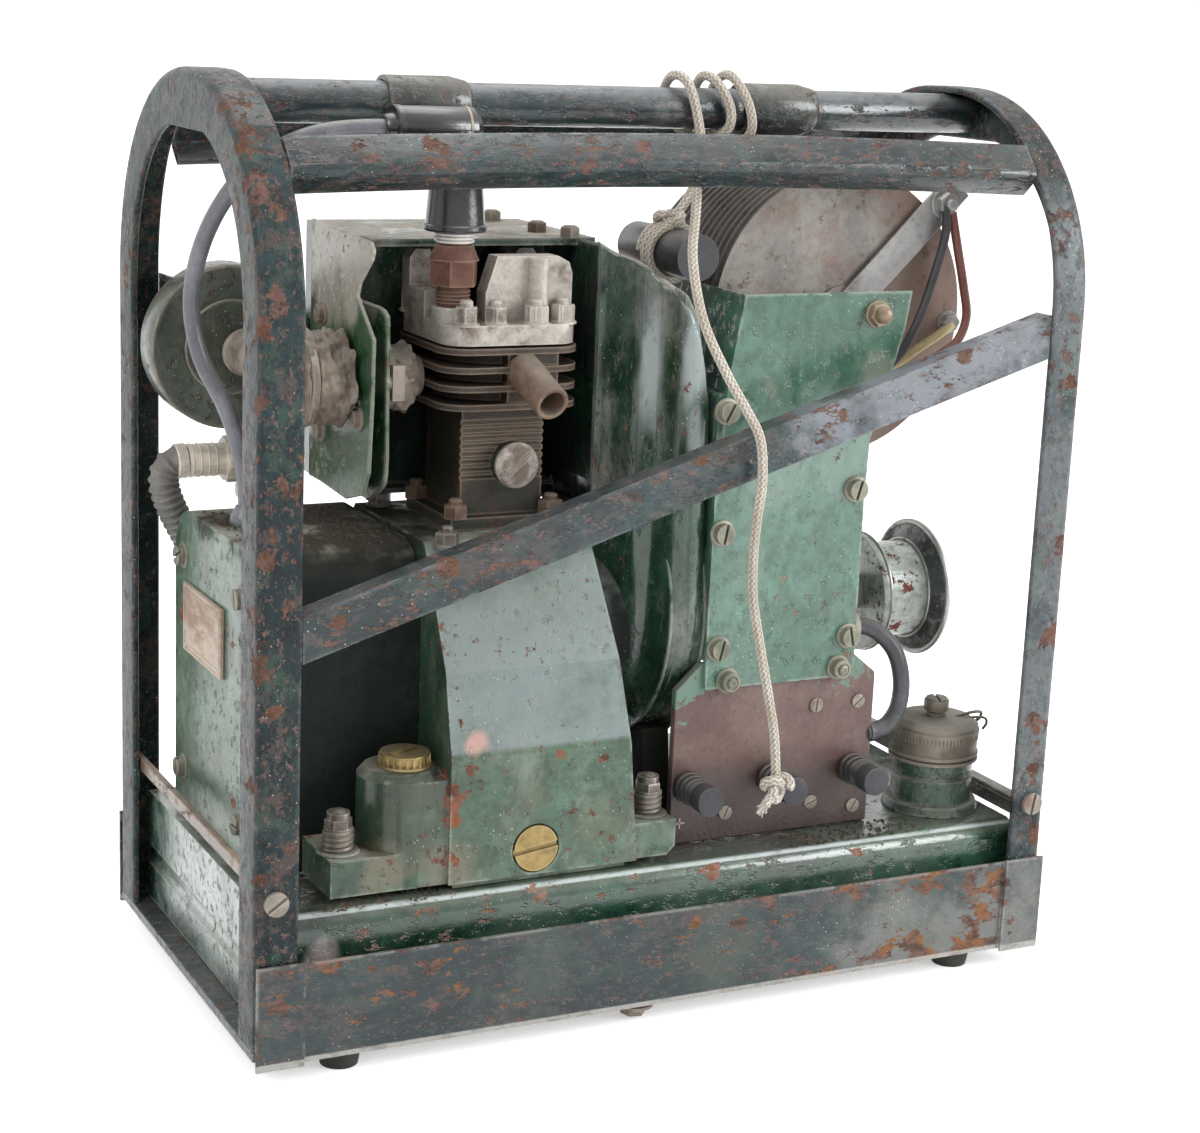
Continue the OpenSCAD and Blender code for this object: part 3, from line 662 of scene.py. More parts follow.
def yarn():
    """Cream cotton cord, handled and a little dirty"""
    r = Recipe("cord cotton")
    cloud = r.between(r.noise(60, 6, 0.65), 0.36, 0.7)
    fine = r.noise(900, 5, 0.75)
    r.colour = r.mix(cloud, "d3ccc2", "b9afa0")
    r.cover(r.between(fine, 0.42, 0.75, 0.0, 0.55), "9d8f78")
    r.cover(r.between(r.noise(120, 7, 0.7, seed=5), 0.58, 0.72), "8a7c66", 0.5)
    # painted shade: darker in the grooves between the strands
    groove = r.node("ShaderNodeAttribute", {"attribute_name": "groove"}).outputs["Fac"]
    r.cover(r.between(groove, 0.14, 0.45), "756a5a", 0.7)
    r.shader.inputs["Sheen Weight"].default_value = 0.25
    return r.finish(0.9, 0.0, fine, 0.00025)


class LayStarterCord(bpy.types.Operator):
    """Plaits the starter cord that hangs over the handle, with its grip and its knots"""

    bl_idname = "charging_set.starter_cord"
    bl_label = "Starter cord"

    def execute(self, context):
        small = context.scene.charging_small
        cotton = yarn()
        radius = small.cord_width / 2 / MM
        cord, path, total = braided("starter_cord", rounded(CORD_POINTS, 6), radius, cotton)
        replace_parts(cord, "starter_rope")
        knot_path = [(43.2 + 2.0 * x, -93.2 + 1.9 * y, 96.5 + 1.75 * z) for x, y, z in knotted(0.45)]
        knot, _, _ = braided("cord_end_knot", knot_path, radius * 1.02, cotton)
        tail_path = rounded([(42, -93.6, 96), (40, -94.4, 93.5), (38, -94.9, 91.4), (36.6, -95.2, 89.8)], 6)
        tail, _, _ = braided("cord_end_tail", tail_path, radius * 0.98, cotton)
        frayed = Stock()
        chance = random.Random(4)
        for _ in range(60):
            a, b = chance.uniform(0, tau), chance.uniform(0.2, 1.0)
            off = Vector((cos(a) * 1.9 * b, sin(a) * 1.2 * b, 0.6 * sin(a) * b))
            start = Vector((37.2, -95.1, 90.6)) + off
            way = Vector((-0.62, -0.05, -0.78)) + Vector((chance.uniform(-0.35, 0.35) for _ in range(3)))
            reach = chance.uniform(1.6, 4.0)
            bend = Vector((chance.uniform(-0.8, 0.8) for _ in range(3)))
            line = [start + way * reach * t + bend * t * t for t in (0, 0.35, 0.7, 1.0)]
            frayed.swept(line, lambda t: 0.28 * (1 - 0.6 * t), 5)
        fray = frayed.make("cord_end_fray", cotton, "rope_fibre")
        turns = []
        for k in range(50):
            t = k / 49
            a = radians(100 + 800 * t)
            turns.append((20 + 11.4 * cos(a), -25.5 + 9.0 * t, 308 + 11.4 * sin(a)))
        wrap, _, _ = braided("cord_round_grip", turns, radius * 0.95, cotton)
        bow = [(20 + 1.9 * x, -21 + 2.1 * z, 321.5 + 1.6 * y) for x, y, z in knotted(0.3)]
        grip_knot, _, _ = braided("cord_grip_knot", bow, radius, cotton)
        grip = moulded("grip moulding", "17161a", "26262c", 0.34, rubbed=0.5, gloss=0.25)
        dress("rope_toggle", grip, 0.0016, 35)
        return {"FINISHED"}


def uneven(most, where, pitch):
    """Smooth random depth between nothing and the most"""
    return most * (0.5 + 0.5 * noise.noise(Vector(where) * pitch))


def bent_hoop(name, side, material):
    """Hoop of angle iron with rolled corners, bent round the end of the cage and a little uneven by hand"""
    half, foot, spring, radius = 94.0, 15.0, 290.0, 87.0
    rim, end, crown = 15, 180.0, 375.0  # depth where the rim begins, end of the cage, level of the outer arch
    across = half - radius
    path = [((-half, foot + (spring - foot) * k / 44), (-1.0, 0.0)) for k in range(44)]
    for k in range(41):
        a = radians(180 - 90 * k / 40)
        path.append(((-across + radius * cos(a), spring + radius * sin(a)), (cos(a), sin(a))))
    path.append(((0.0, spring + radius), (0.0, 1.0)))
    mirrored = [((-y, z), (-ny, nz)) for (y, z), (ny, nz) in reversed(path[:-1])]
    path += mirrored
    section = corner(4.2, 4.2, 4.2, 180, 270, 8)
    section += corner(19.9, 1.1, 1.1, -90, 0, 4) + corner(19.9, 1.9, 1.1, 0, 90, 4)
    section += corner(5.2, 5.2, 2.2, 270, 180, 5)
    section += corner(1.9, 15.9, 1.1, 0, 90, 4) + corner(1.1, 15.9, 1.1, 90, 180, 4)
    points = []
    for i, ((y, z), (ny, nz)) in enumerate(path):
        wave = 0.0 if i in (0, len(path) - 1) else uneven(0.35, (y, z, side * 40), 0.035)
        for deep, along in section:
            dent = wave + uneven(0.22, (y, z, along + side * 90), 0.11)
            reach = deep + dent * (1 - min(1.0, deep / rim))
            py, pz = y - ny * reach, z - nz * reach
            if deep > rim:
                pz = min(pz, crown - deep)
            points.append((side * (end - along), py, pz))
    n = len(section)
    faces = tube(len(path), n, ends=False)
    faces.append(tuple(range(n)))
    faces.append(tuple((len(path) - 1) * n + k for k in reversed(range(n))))
    if side > 0:
        faces = [tuple(reversed(face)) for face in faces]
    stock = Stock()
    stock.add(points, faces)
    return stock.make(name, material, "cage_paint", smooth=50)


class FinishCage(bpy.types.Operator):
    """Paints the carrying cage and adds its screws and a skirt bolt"""

    bl_idname = "charging_set.cage"
    bl_label = "Carrying cage"

    def execute(self, context):
        c = context.scene.charging_cage
        wear = c.wear
        hoop = old_paint(
            "cage hoop paint", c.paint, c.faded, "7c7874", c.primer, c.rust, c.bright, dusty=0.1, chips=0.56,
            wear=wear, grime=0.6, fleck=0.3, sheen=0.4, gloss=0.07, streak=(1, 1, 0.8), mottle=1.4,
            glaze=0.22, depth=0.0006,
            # painted reflection: pale clouds on the right hoop's front leg
            extra=(([(174, -94, 290, 60), (174, -94, 210, 60), (174, -94, 120, 60)], "84888b", 0.4),),
            places=[(-173, -94, 300, 6), (-178, -90, 262, 5), (-179, -92, 205, 6), (-168, -94, 232, 5),
                (-179, -92, 165, 9), (-180, -88, 185, 7), (-180, -88, 120, 7), (-169, -94, 190, 3),
                (-170, -86, 332, 5), (-177, -50, 372, 12), (-180, -80, 340, 9), (-179, -92, 52, 6),
                (-180, -70, 356, 9), (-180, -92, 290, 6), (-165, -94, 262, 3), (-164, -94, 244, 3),
                (174, -94, 260, 5), (177, -94, 190, 8), (176, -94, 150, 8), (172, -94, 110, 8),
                (177, -94, 60, 7)],
            rusty=[(-174, -94, 150, 5), (-178, -94, 84, 4), (172, -94, 90, 5)],
        )
        bars = old_paint(
            "cage bar paint", c.paint, c.faded, "7c7874", c.primer, c.rust, c.bright, dusty=0.14, chips=0.54,
            wear=wear, grime=0.6, fleck=0.2, streak=(0.5, 1, 1), sheen=0.36, gloss=0.3, seed=11.0, mottle=0.9,
            glaze=0.38, depth=0.0006,
            # painted reflection: pale blue-grey clouds on the right end of the front brace
            extra=(([(130, -94, 276, 34), (92, -94, 262, 30), (56, -94, 248, 22)], "8f939b", 0.55),),
            places=[(-135, -76, 356, 9), (-104, -76, 356, 12), (-70, -76, 356, 9), (-20, -74, 357, 8),
                (30, -74, 358, 7), (90, -74, 357, 8), (-150, -94, 180, 4), (-106, -94, 200, 5),
                (-66, -94, 216, 4), (0, -94, 236, 4), (28, -94, 240, 5), (64, -94, 250, 4),
                (120, -94, 272, 5)],
        )
        handle = old_paint(
            "handle tube paint", c.paint, c.faded, "999a9c", c.primer, c.rust, c.bright, dusty=0.44,
            chips=0.36, wear=wear * 0.8, grime=0.45, streak=(0.45, 1, 1), sheen=0.34, gloss=0.6, seed=5.0,
            mottle=0.7, depth=0.0006,
        )
        sleeve = old_paint(
            "sleeve paint", "242c2a", "3c3f3a", "857f77", "5d4a3e", "6b4d38", "8d8a84", dusty=0.5, chips=0.5,
            wear=wear, grime=0.55, sheen=0.35, gloss=0.5, seed=7.0,
        )
        skirt = old_paint(
            "skirt paint", c.paint, c.faded, "8b857d", c.primer, "7d5535", "aba8a2", dusty=0.3, chips=0.46,
            wear=wear, grime=0.45, streak=(0.5, 1, 1), fleck=0.2, sheen=0.36, gloss=0.3, seed=21.0,
            mottle=0.8,
            places=[(150, -94, 38, 20), (125, -94, 48, 14), (104, -94, 48, 13), (84, -94, 48, 12),
                (60, -94, 12, 10), (76, -94, 11, 12), (96, -94, 12, 15), (120, -94, 12, 16),
                (145, -94, 13, 17), (-150, -94, 47, 7), (8, -94, 44, 5), (-12, -94, 14, 5), (30, -94, 38, 5),
                (-172, -96, 34, 5), (40, -94, 47, 6)],
            rusty=[(152, -94, 40, 9), (150, -94, 28, 6), (146, -94, 16, 7)],
            extra=(([(110, -94, 30, 30), (-60, -94, 34, 18), (20, -94, 26, 22)], "3e4c40", 0.4),
                # painted light: paler clouds on the right end of the front skirt
                ([(100, -94, 16, 30), (160, -94, 24, 26), (140, -94, 12, 26)], "8b8a86", 0.4)),
            hem=(11.4, 10.7),
        )
        for node, side in (("left_hoop", -1), ("right_hoop", 1)):
            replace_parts(bent_hoop(node + "_bent", side, hoop), node)
        for node in ("front_shoulder_rail", "rear_shoulder_rail", "front_brace", "rear_brace"):
            dress(node, bars, 0.0009, 30)
        dress("handle_tube", handle, 0.0008)
        dress("handle_sleeves", sleeve, 0.0006, 24)
        for node in ("front_skirt", "rear_skirt"):
            dress(node, skirt, 0.0006)
        dress("end_ledges", bars, 0.0007)
        tan = old_paint(
            "cross bar paint", "6f5946", "82705c", "9a8d80", "6b4a3b", "7d5237", "b7a899", dusty=0.5,
            chips=0.4, wear=0.5, streak=(1, 0.5, 1), seed=31.0,
        )
        grey = old_paint(
            "right bar paint", "4b4a45", "66635c", "88827a", "6b4a3b", "7d5237", "a09a92", dusty=0.5,
            chips=0.4, wear=0.5, streak=(1, 0.5, 1), seed=33.0,
        )
        strip = Stock()
        strip.prism([(-1.5, -2.4), (-1.1, -2.8), (1.1, -2.8), (1.5, -2.4), (1.5, 2.4), (1.1, 2.8),
                (-1.1, 2.8), (-1.5, 2.4)], 180.6, (-174.9, -90.3, 77.6), BACK)
        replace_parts(strip.make("end_strip", tan, "tan_steel", smooth=30, bevel=0.0003), "left_cross_bar")
        dress("right_cross_bar", grey, 0.0007)
        rubber = moulded("foot rubber", "232220", "3a3833", 0.8, dusty=0.3)
        dress("rubber_feet", rubber, 0.0009, 20)
        steel = bare_metal("screw steel", "8b8379", "6b4b38", "b9b2a6", 0.6, 0.5, patches=0.7)
        screws = Stock()
        for side, y, z, turn in ((-1, -94, 74.7, 35), (1, -94, 74.7, 80), (-1, 94, 74.7, 10),
                (1, 94, 74.7, 60)):
            screws.screw((side * 172.2, y * 0.998, z), (0, copysign(1, y), 0), 9.6, turn, tall=1.9)
        screws.make("leg_screws", steel, "stud_steel", bevel=0.0002)
        foot_bolt = Stock()
        foot_bolt.turned([(8.5, 0), (8.5, 1.2), (7.8, 1.6)], (-13, -82, 6.4), DOWN, 28)
        foot_bolt.nut((-13, -82, 6.9), DOWN, 9.5, 4.2, 12, base=1.4)
        foot_bolt.turned([(2.6, 0), (2.6, 3.4), (2.1, 4.2)], (-13, -82, 4.9), DOWN, 16)
        foot_bolt.make("skirt_bolt", steel, "stud_steel")
        return {"FINISHED"}


class FinishTank(bpy.types.Operator):
    """Paints the fuel tank and details its filler"""

    bl_idname = "charging_set.tank"
    bl_label = "Fuel tank"

    def execute(self, context):
        e = context.scene.charging_engine
        tank = old_paint(
            "tank paint", e.deep, "2f5240", e.dust, "8b6a5c", "7a5138", "a9ada6", dusty=0.28, chips=0.34,
            wear=0.85, grime=0.55, fleck=0.14, streak=(0.6, 1, 1), sheen=0.26, gloss=0.9,
            # painted highlight: a thin pale band along the rounded top front edge
            ramps=((2, 62.0, 62.6, "c3ccca", 0.85, 1, -0.25, -0.5),),
            extra=(
                ([(60, -70, 64, 26), (20, -66, 64, 24), (100, -66, 64, 20), (-150, -40, 64, 30)],
                 "2f2b26", 0.8),
                # painted light: pale clouds on the left end face
                ([(-171, -55, 40, 34), (-171, -10, 40, 36), (-171, 40, 40, 36)], "8f9a93", 0.75),
                ([(20, -85, 40, 40), (90, -85, 40, 40), (-60, -85, 40, 30)], "54685b", 0.35)),
            places=[(-120, -85, 30, 5), (-60, -85, 60, 6), (20, -85, 60, 7), (90, -85, 60, 6)],
            pale=[(-150, -85, 46, 9), (-142, -85, 40, 5)], pale_dust_and_sheen="9a8f8f", seed=41.0,
        )
        dress("fuel_tank", tank, 0.0012, 25)
        neck = old_paint(
            "neck paint", "24402f", "6b7d70", e.dust, "7a6a5a", "6b5138", "aaa79c", dusty=0.6, chips=0.45,
            wear=0.6, grime=0.6, seed=43.0,
        )
        dress("filler_neck", neck, 0.0008, 25)
        cap = bare_metal(
            "filler cap metal", "7d7568", "5c5146", "b5ac9a", 0.45, 0.55, patches=0.75, dusty=0.8, seed=2.0,
        )
        dress("filler_cap", cap, 0.0007, 25)
        knurl = Stock()
        for k, (x, y) in enumerate(circle(72, 19.0, 148, -52)):
            knurl.prism([(-0.42, -0.5), (0.42, -0.5), (0.3, 0.5), (-0.3, 0.5)], 3.4, (x, y, 96.2), UP,
                5 * k - 90)
        knurl.turned([(19.0, 0), (19.75, 0.3), (19.75, 1.3), (19.1, 1.6)], (148, -52, 88.95), sides=64)
        knurl.turned([(19.1, 0), (19.7, 0.3), (19.7, 1.6), (19.1, 1.9)], (148, -52, 99.0), sides=64)
        knurl.turned([(19.75, 0), (19.75, 0.8), (19.2, 1.2)], (148, -52, 86.9), sides=64)
        knurl.make("filler_cap_knurl", cap, "cap_brass", smooth=30)
        vent = Stock()
        vent.screw((148, -52, 111.0), UP, 9.6, 70, tall=2.6, slot=1.2)
        vent.turned([(4.3, 0), (4.3, 1.4), (3.6, 2.0)], (148, -52, 104.9), sides=24)
        for k in range(5):
            vent.turned([(3.3, 0), (3.75, 0.35), (3.3, 0.7)], (148, -52, 106.2 + 0.8 * k), sides=24)
        vent.make("filler_vent", cap, "cap_brass")
        clip = Stock()
        loop = [(156, -56, 104.6), (163, -57.5, 106.5), (168.5, -57, 106), (169.5, -55.5, 103),
            (168.6, -53, 100.5), (168.0, -51, 100), (167.4, -50.5, 98)]
        clip.swept(rounded(loop, 6), 0.7, 10)
        clip.swept(rounded([(157.8, -59.5, 104.4), (163.6, -60, 105.0), (168.5, -60.5, 104.2),
                    (170.0, -60, 101.5), (169.2, -58.5, 98.5)], 6), 0.6, 10)
        clip.make("filler_clip", bare_metal("clip wire", "4d4842", "5b4334", "8d867b", 0.5, 0.5),
            "stud_steel")
        seam = Stock()
        for front in (-1, 1):
            seam.swept([(-160, front * 85.0, 17.4), (0, front * 85.0, 17.4), (160, front * 85.0, 17.4)], 0.9,
                8)
        seam.make("tank_seam", tank, "tank_paint")
        return {"FINISHED"}


class FinishCrankcase(bpy.types.Operator):
    """Paints the crankcase and adds its studs, springs and plugs"""

    bl_idname = "charging_set.crankcase"
    bl_label = "Crankcase"

    def execute(self, context):
        e = context.scene.charging_engine
        case = old_paint(
            "crankcase paint", e.green, "4d6a56", e.dust, e.chip, "7d4a32", "9fa59c", dusty=0.75, chips=0.2,
            wear=0.5, grime=0.5, fleck=0.2, sheen=0.32, gloss=0.6,
            places=[(-96, -79, 78, 6), (-94, -80, 100, 7), (-94, -76, 88, 6), (-92, -74, 132, 4),
                (-88, -80, 114, 5), (-20, -78, 84, 3), (-30, -80, 112, 3), (-50, -80, 116, 3),
                (-97, -72, 108, 6)],
            rusty=[(-96, -79, 94, 5), (-95, -79, 106, 4)], seed=51.0, pale=[(-86, -79, 124, 5)],
            # the film is dust and a painted reflection on the upper front face above the crease
            pale_dust_and_sheen="b98f84", dust_and_sheen_film=(119.0, 121.5, "818b8b", 0.74), glaze=0.25,
            extra=(([(-112, -74, 104, 20), (-112, -74, 88, 20), (-100, -72, 96, 12)], "2f3829", 0.85),
                ([(-125, -78, 75, 12), (-96, -78, 74, 14)], "6b6653", 0.7),
                ([(-30, -79, 84, 14), (-60, -79, 100, 10)], "5f5c46", 0.35)),
            # the clouds near x 0 are painted shade where the crankcase meets the cowl; the others are real
            # grime on the top
            stains_and_shade=[(-100, 10, 198, 30), (-95, -30, 198, 18), (-55, 40, 198, 30), (4, -40, 150, 34),
                (4, -30, 190, 26), (2, -44, 122, 20), (-24, -22, 198, 22), (-22, 20, 198, 26),
                (-90, -30, 198, 16)],
            stain="191b17",
        )
        dress("crankcase", case, 0.0022, 26)
        brass = bare_metal("plug brass", "9a8456", "5e4c33", "cdb884", 0.7, 0.4, patches=0.45, dusty=0.3,
            seed=6.0)
        dress("case_plugs", brass, 0.0006, 30)
        cap = Stock()
        for k, (x, y) in enumerate(circle(24, 9.8, -109, -62)):
            cap.prism([(-0.7, -0.4), (0.7, -0.4), (0.5, 0.5), (-0.5, 0.5)], 3.4, (x, y, 114.0), UP,
                15 * k - 90)
        cap.prism([(-7.2, -1.1), (7.2, -1.1), (7.2, 1.1), (-7.2, 1.1)], 1.5, (-109, -62, 118.0), UP, 28,
            taper=0.25)
        cap.turned([(11.2, 0), (11.4, 0.4), (10.8, 1.1)], (-109, -62, 112.9), sides=48)
        cap.make("oil_cap_detail", brass, "cap_brass", smooth=30)
        steel = bare_metal("stud metal", "6f675e", "43332a", "cfc8bc", 0.6, 0.4, patches=0.6, seed=7.0)
        dress("mount_studs", steel, 0.0006, 25)
        studs = Stock()
        turns = context.scene.charging_small.spring_turns
        for x, y in ((-138, -67), (-3, -67)):
            studs.spring((x, y, 82.3), 5.2, 2.0, 9.0, turns)
            studs.nut((x, y, 91.2), UP, 9.6, 4.6, 10 + x)
            studs.turned([(5.4, 0), (5.4, 0.9), (4.9, 1.3)], (x, y, 90.4), sides=32)
            studs.turned([(3.7, 0), (3.7, 2.0), (3.2, 3.0), (2.0, 3.9), (0.6, 4.2)], (x, y, 95.4), sides=28)
        studs.make("stud_springs", steel, "stud_steel")
        pads = Stock()
        for x, y in ((-138, -67), (-3, -67)):
            pads.turned([(8.4, 0), (8.6, 0.5), (8.0, 1.0)], (x, y, 81.9), sides=36)
        for x in (-120, -75, -45, -18):
            pads.turned([(5.2, 0), (5.2, 2.2), (4.5, 3.0)], (x, 44, 81.6 if x < -100 else 70.4), sides=28)
        pads.make("case_bosses", case, "engine_paint")
        bolts = Stock()
        for x, y, z in ((-88, -49.5, 196.8), (-26, -49.5, 196.8), (-88, 24, 198), (-26, 24, 198)):
            bolts.turned([(5.6, -0.6), (5.6, 0.5), (5.1, 0.9)], (x, y, z), sides=28)
            bolts.nut((x, y, z + 0.8), UP, 8.4, 4.6, 20 + x)
            bolts.turned([(2.3, 0), (2.3, 2.2), (1.8, 2.7)], (x, y, z + 5.2), sides=20)
        bolts.make("deck_nuts", steel, "stud_steel")
        return {"FINISHED"}


class FinishDynamo(bpy.types.Operator):
    """Paints the dynamo and fixes its blank plate"""

    bl_idname = "charging_set.dynamo"
    bl_label = "Dynamo"

    def execute(self, context):
        e = context.scene.charging_engine
        paint = old_paint(
            "dynamo paint", e.green, "67806f", e.dust, e.chip, "7d4a32", "9fa59c", dusty=0.9, chips=0.22,
            wear=0.35, grime=0.4, fleck=0.2, sheen=0.38, seed=61.0, glaze=0.25,
            # painted shade: the front faces darkened to near black
            places=[(-165, 52, 150, 4), (-165, -20, 90, 4)], shaded=(1, -0.35, -0.8, 0.95),
            stains_and_shade=[(-112, -20, 196, 32), (-122, 20, 196, 34), (-142, -24, 196, 22), (-104, 45, 196, 30),
                (-145, 20, 196, 22)],
            stain="261f18",
        )
        dress("dynamo_housing", paint, 0.0045, 40)
        grit = Stock()
        chance = random.Random(8)
        heaps = [(-98, -160, -24, 38, 196.1, 420), (60, 126, -82, -63, 64.1, 130),
            (-150, -96, -84, -60, 64.1, 110), (-30, 10, -60, -40, 64.1, 50)]
        for x0, x1, y0, y1, level, count in heaps:
            for _ in range(count):
                x, y = chance.uniform(x0, x1), chance.uniform(y0, y1)
                wide = [chance.uniform(0.35, 1.3) for _ in range(6)]
                points = [(wide[0], 0, 0), (0, wide[1], 0), (-wide[2], 0, 0), (0, -wide[3], 0),
                    (0, 0, wide[4] * 0.8), (0, 0, -0.2)]
                faces = [(0, 1, 4), (1, 2, 4), (2, 3, 4), (3, 0, 4), (1, 0, 5), (2, 1, 5), (3, 2, 5),
                    (0, 3, 5)]
                grit.add(points, faces, (x, y, level), UP, chance.uniform(0, 360))
        soil = bare_metal("grit brown", "372c22", "1f1914", "5a4c3e", 0.0, 0.95, patches=0.6, dusty=0.05)
        grit.make("settled_grit", soil, "engine_paint", smooth=10)
        plate = bare_metal(
            "plate metal", "b8a898", "8a7262", "d3c7b8", 0.3, 0.55, 1.4, 0.62, (1, 0.4, 1), seed=12.0,
            dusty=0.1,
        )
        dress("name_plate", plate)
        rim = Stock()
        x, a, b, low, high = -166.5, -7.0, 43.0, 137.0, 166.0
        edge = [(x, a + 0.8, low + 0.8), (x, b - 0.8, low + 0.8), (x, b - 0.8, high - 0.8),
            (x, a + 0.8, high - 0.8)]
        for k in range(4):
            rim.swept([edge[k], edge[(k + 1) % 4]], 0.55, 8)
        inner = [(x, a + 3, low + 3), (x, b - 3, low + 3), (x, b - 3, high - 3), (x, a + 3, high - 3)]
        for k in range(4):
            rim.swept([inner[k], inner[(k + 1) % 4]], 0.3, 6)
        rim.make("plate_rim", plate, "plate_metal")
        rivets = Stock()
        for y in (-4.4, 40.4):
            for z in (139.6, 163.4):
                rivets.turned([(1.5, 0), (1.4, 0.5), (0.9, 0.95), (0.3, 1.1)], (x, y, z), LEFT, 18)
        rivets.make("plate_rivets", plate, "plate_metal")
        ribs = Stock()
        for y in (-30, 48):
            ribs.screw((-164.8, y, 84), LEFT, 8.4, 30 + y, washer=11.5)
            ribs.screw((-164.8, y, 176), LEFT, 8.4, 75 - y, washer=11.5)
        steel = bare_metal("dynamo screw steel", "7d7a6c", "4f5d4c", "aaa69b", 0.5, 0.5, patches=0.7)
        ribs.make("dynamo_screws", steel, "stud_steel", bevel=0.0002)
        return {"FINISHED"}


class FinishCylinder(bpy.types.Operator):
    """Gives the cylinder its rusted fins and the head its cast alloy"""

    bl_idname = "charging_set.cylinder"
    bl_label = "Cylinder and head"

    def execute(self, context):
        r = Recipe("rusted cylinder iron")
        cloud = r.between(r.noise(40, 7, 0.68), 0.36, 0.68)
        fine = r.noise(240, 7, 0.75, seed=3)
        r.colour = r.mix(cloud, "3b332d", "5a483b")
        r.cover(r.between(fine, 0.45, 0.72, 0.0, 0.7), "241e1b")
        r.cover(r.between(r.noise(70, 6, 0.7, seed=7), 0.5, 0.68), "6e5442", 0.7)
        low = r.along(2, 0.247, 0.243)
        green = r.times(low, r.between(r.noise(55, 6, 0.7, seed=9), 0.4, 0.6))
        r.cover(green, "2f4337", 0.6)
        # painted shade: darker away from the fin edges, for the shade between the fins
        r.cover(r.sum("SUBTRACT", 1.0, r.edges(0.004, 0.01, 0.1)), "14110f", 0.55)
        # lighter rust-brown on the edges, which is also a painted highlight
        r.cover(r.edges(0.0014), "a8927c", 0.75)
        iron = r.finish(0.62, 0.15, fine, 0.0006)
        dress("cylinder", iron, 0.0006, 25)
        head = bare_metal("head alloy", "b3aba2", "5b4b3f", "ddd7cd", 0.3, 0.5, patches=0.5, bump=0.0011,
            dusty=0.2, seed=4.0, wear=0.7)
        dress("cylinder_head", head, 0.0018, 25)
        stub = bare_metal("exhaust iron", "7f6a58", "513c30", "b3a08c", 0.35, 0.6, patches=0.7, bump=0.0005,
            seed=9.0)
        pipe = Stock()
        base, mouth = Vector((-51.2, -42.0, 261.0)), Vector((-49.5, -60.5, 253.2))
        reach = (mouth - base).length
        pipe.turned([(7.4, -7), (7.4, 4), (7.1, 5.5), (7.1, reach - 1.2), (6.9, reach), (5.4, reach),
                (5.2, reach - 1), (5.2, 8), (0.4, 8)], base, mouth - base, 44)
        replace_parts(pipe.make("exhaust_pipe", stub, "rusty_iron", bevel=0.0004), "exhaust_stub")
        nuts = Stock()
        for x, y in ((-75.5, -33), (-63.5, -34), (-45.5, -34), (-32.5, -31), (-79.5, 13), (-31.5, 13)):
            nuts.turned([(5.6, 0), (5.6, 0.8), (5.1, 1.2)], (x, y, 280.9), sides=28)
            nuts.nut((x, y, 281.6), UP, 8.4, 6.9, 17 + x)
            nuts.turned([(2.7, 0), (2.7, 2.2), (2.1, 2.9)], (x, y, 288.2), sides=20)
        nuts.make("head_nuts", head, "head_alloy")
        port = Stock()
        port.turned([(9.4, 0), (9.4, 1.6), (8.4, 2.3), (7.6, 2.4)], (-51.5, -31.8, 224), FRONT, 44)
        port.prism([(-7.8, -0.9), (7.8, -0.9), (7.8, 0.9), (-7.8, 0.9)], 1.2, (-51.5, -34.0, 224), FRONT, 40,
            taper=0.3)
        port.make("port_cap", head, "head_alloy", bevel=0.0002)
        base = Stock()
        for x in (-76.5, -34.5):
            for y in (-30, 12):
                base.nut((x, y, 203.1), UP, 9, 5.2, 25 + x)
                base.turned([(2.8, 0), (2.8, 2.4), (2.2, 3.0)], (x, y, 208), sides=18)
        base.make("barrel_nuts", stub, "rusty_iron")
        ribs = Stock()
        for s in (-1, 1):
            for k in range(3):
                x = -55.5 + s * (7.5 + 7.0 * k)
                ribs.prism([(-0.9, -8.5), (0.9, -8.5), (0.9, 8.5), (-0.9, 8.5)], 11 - 2.6 * k,
                    (x, 6.5, 281.2), UP, taper=0.1)
        ribs.make("head_ribs", head, "head_alloy", bevel=0.0006)
        return {"FINISHED"}


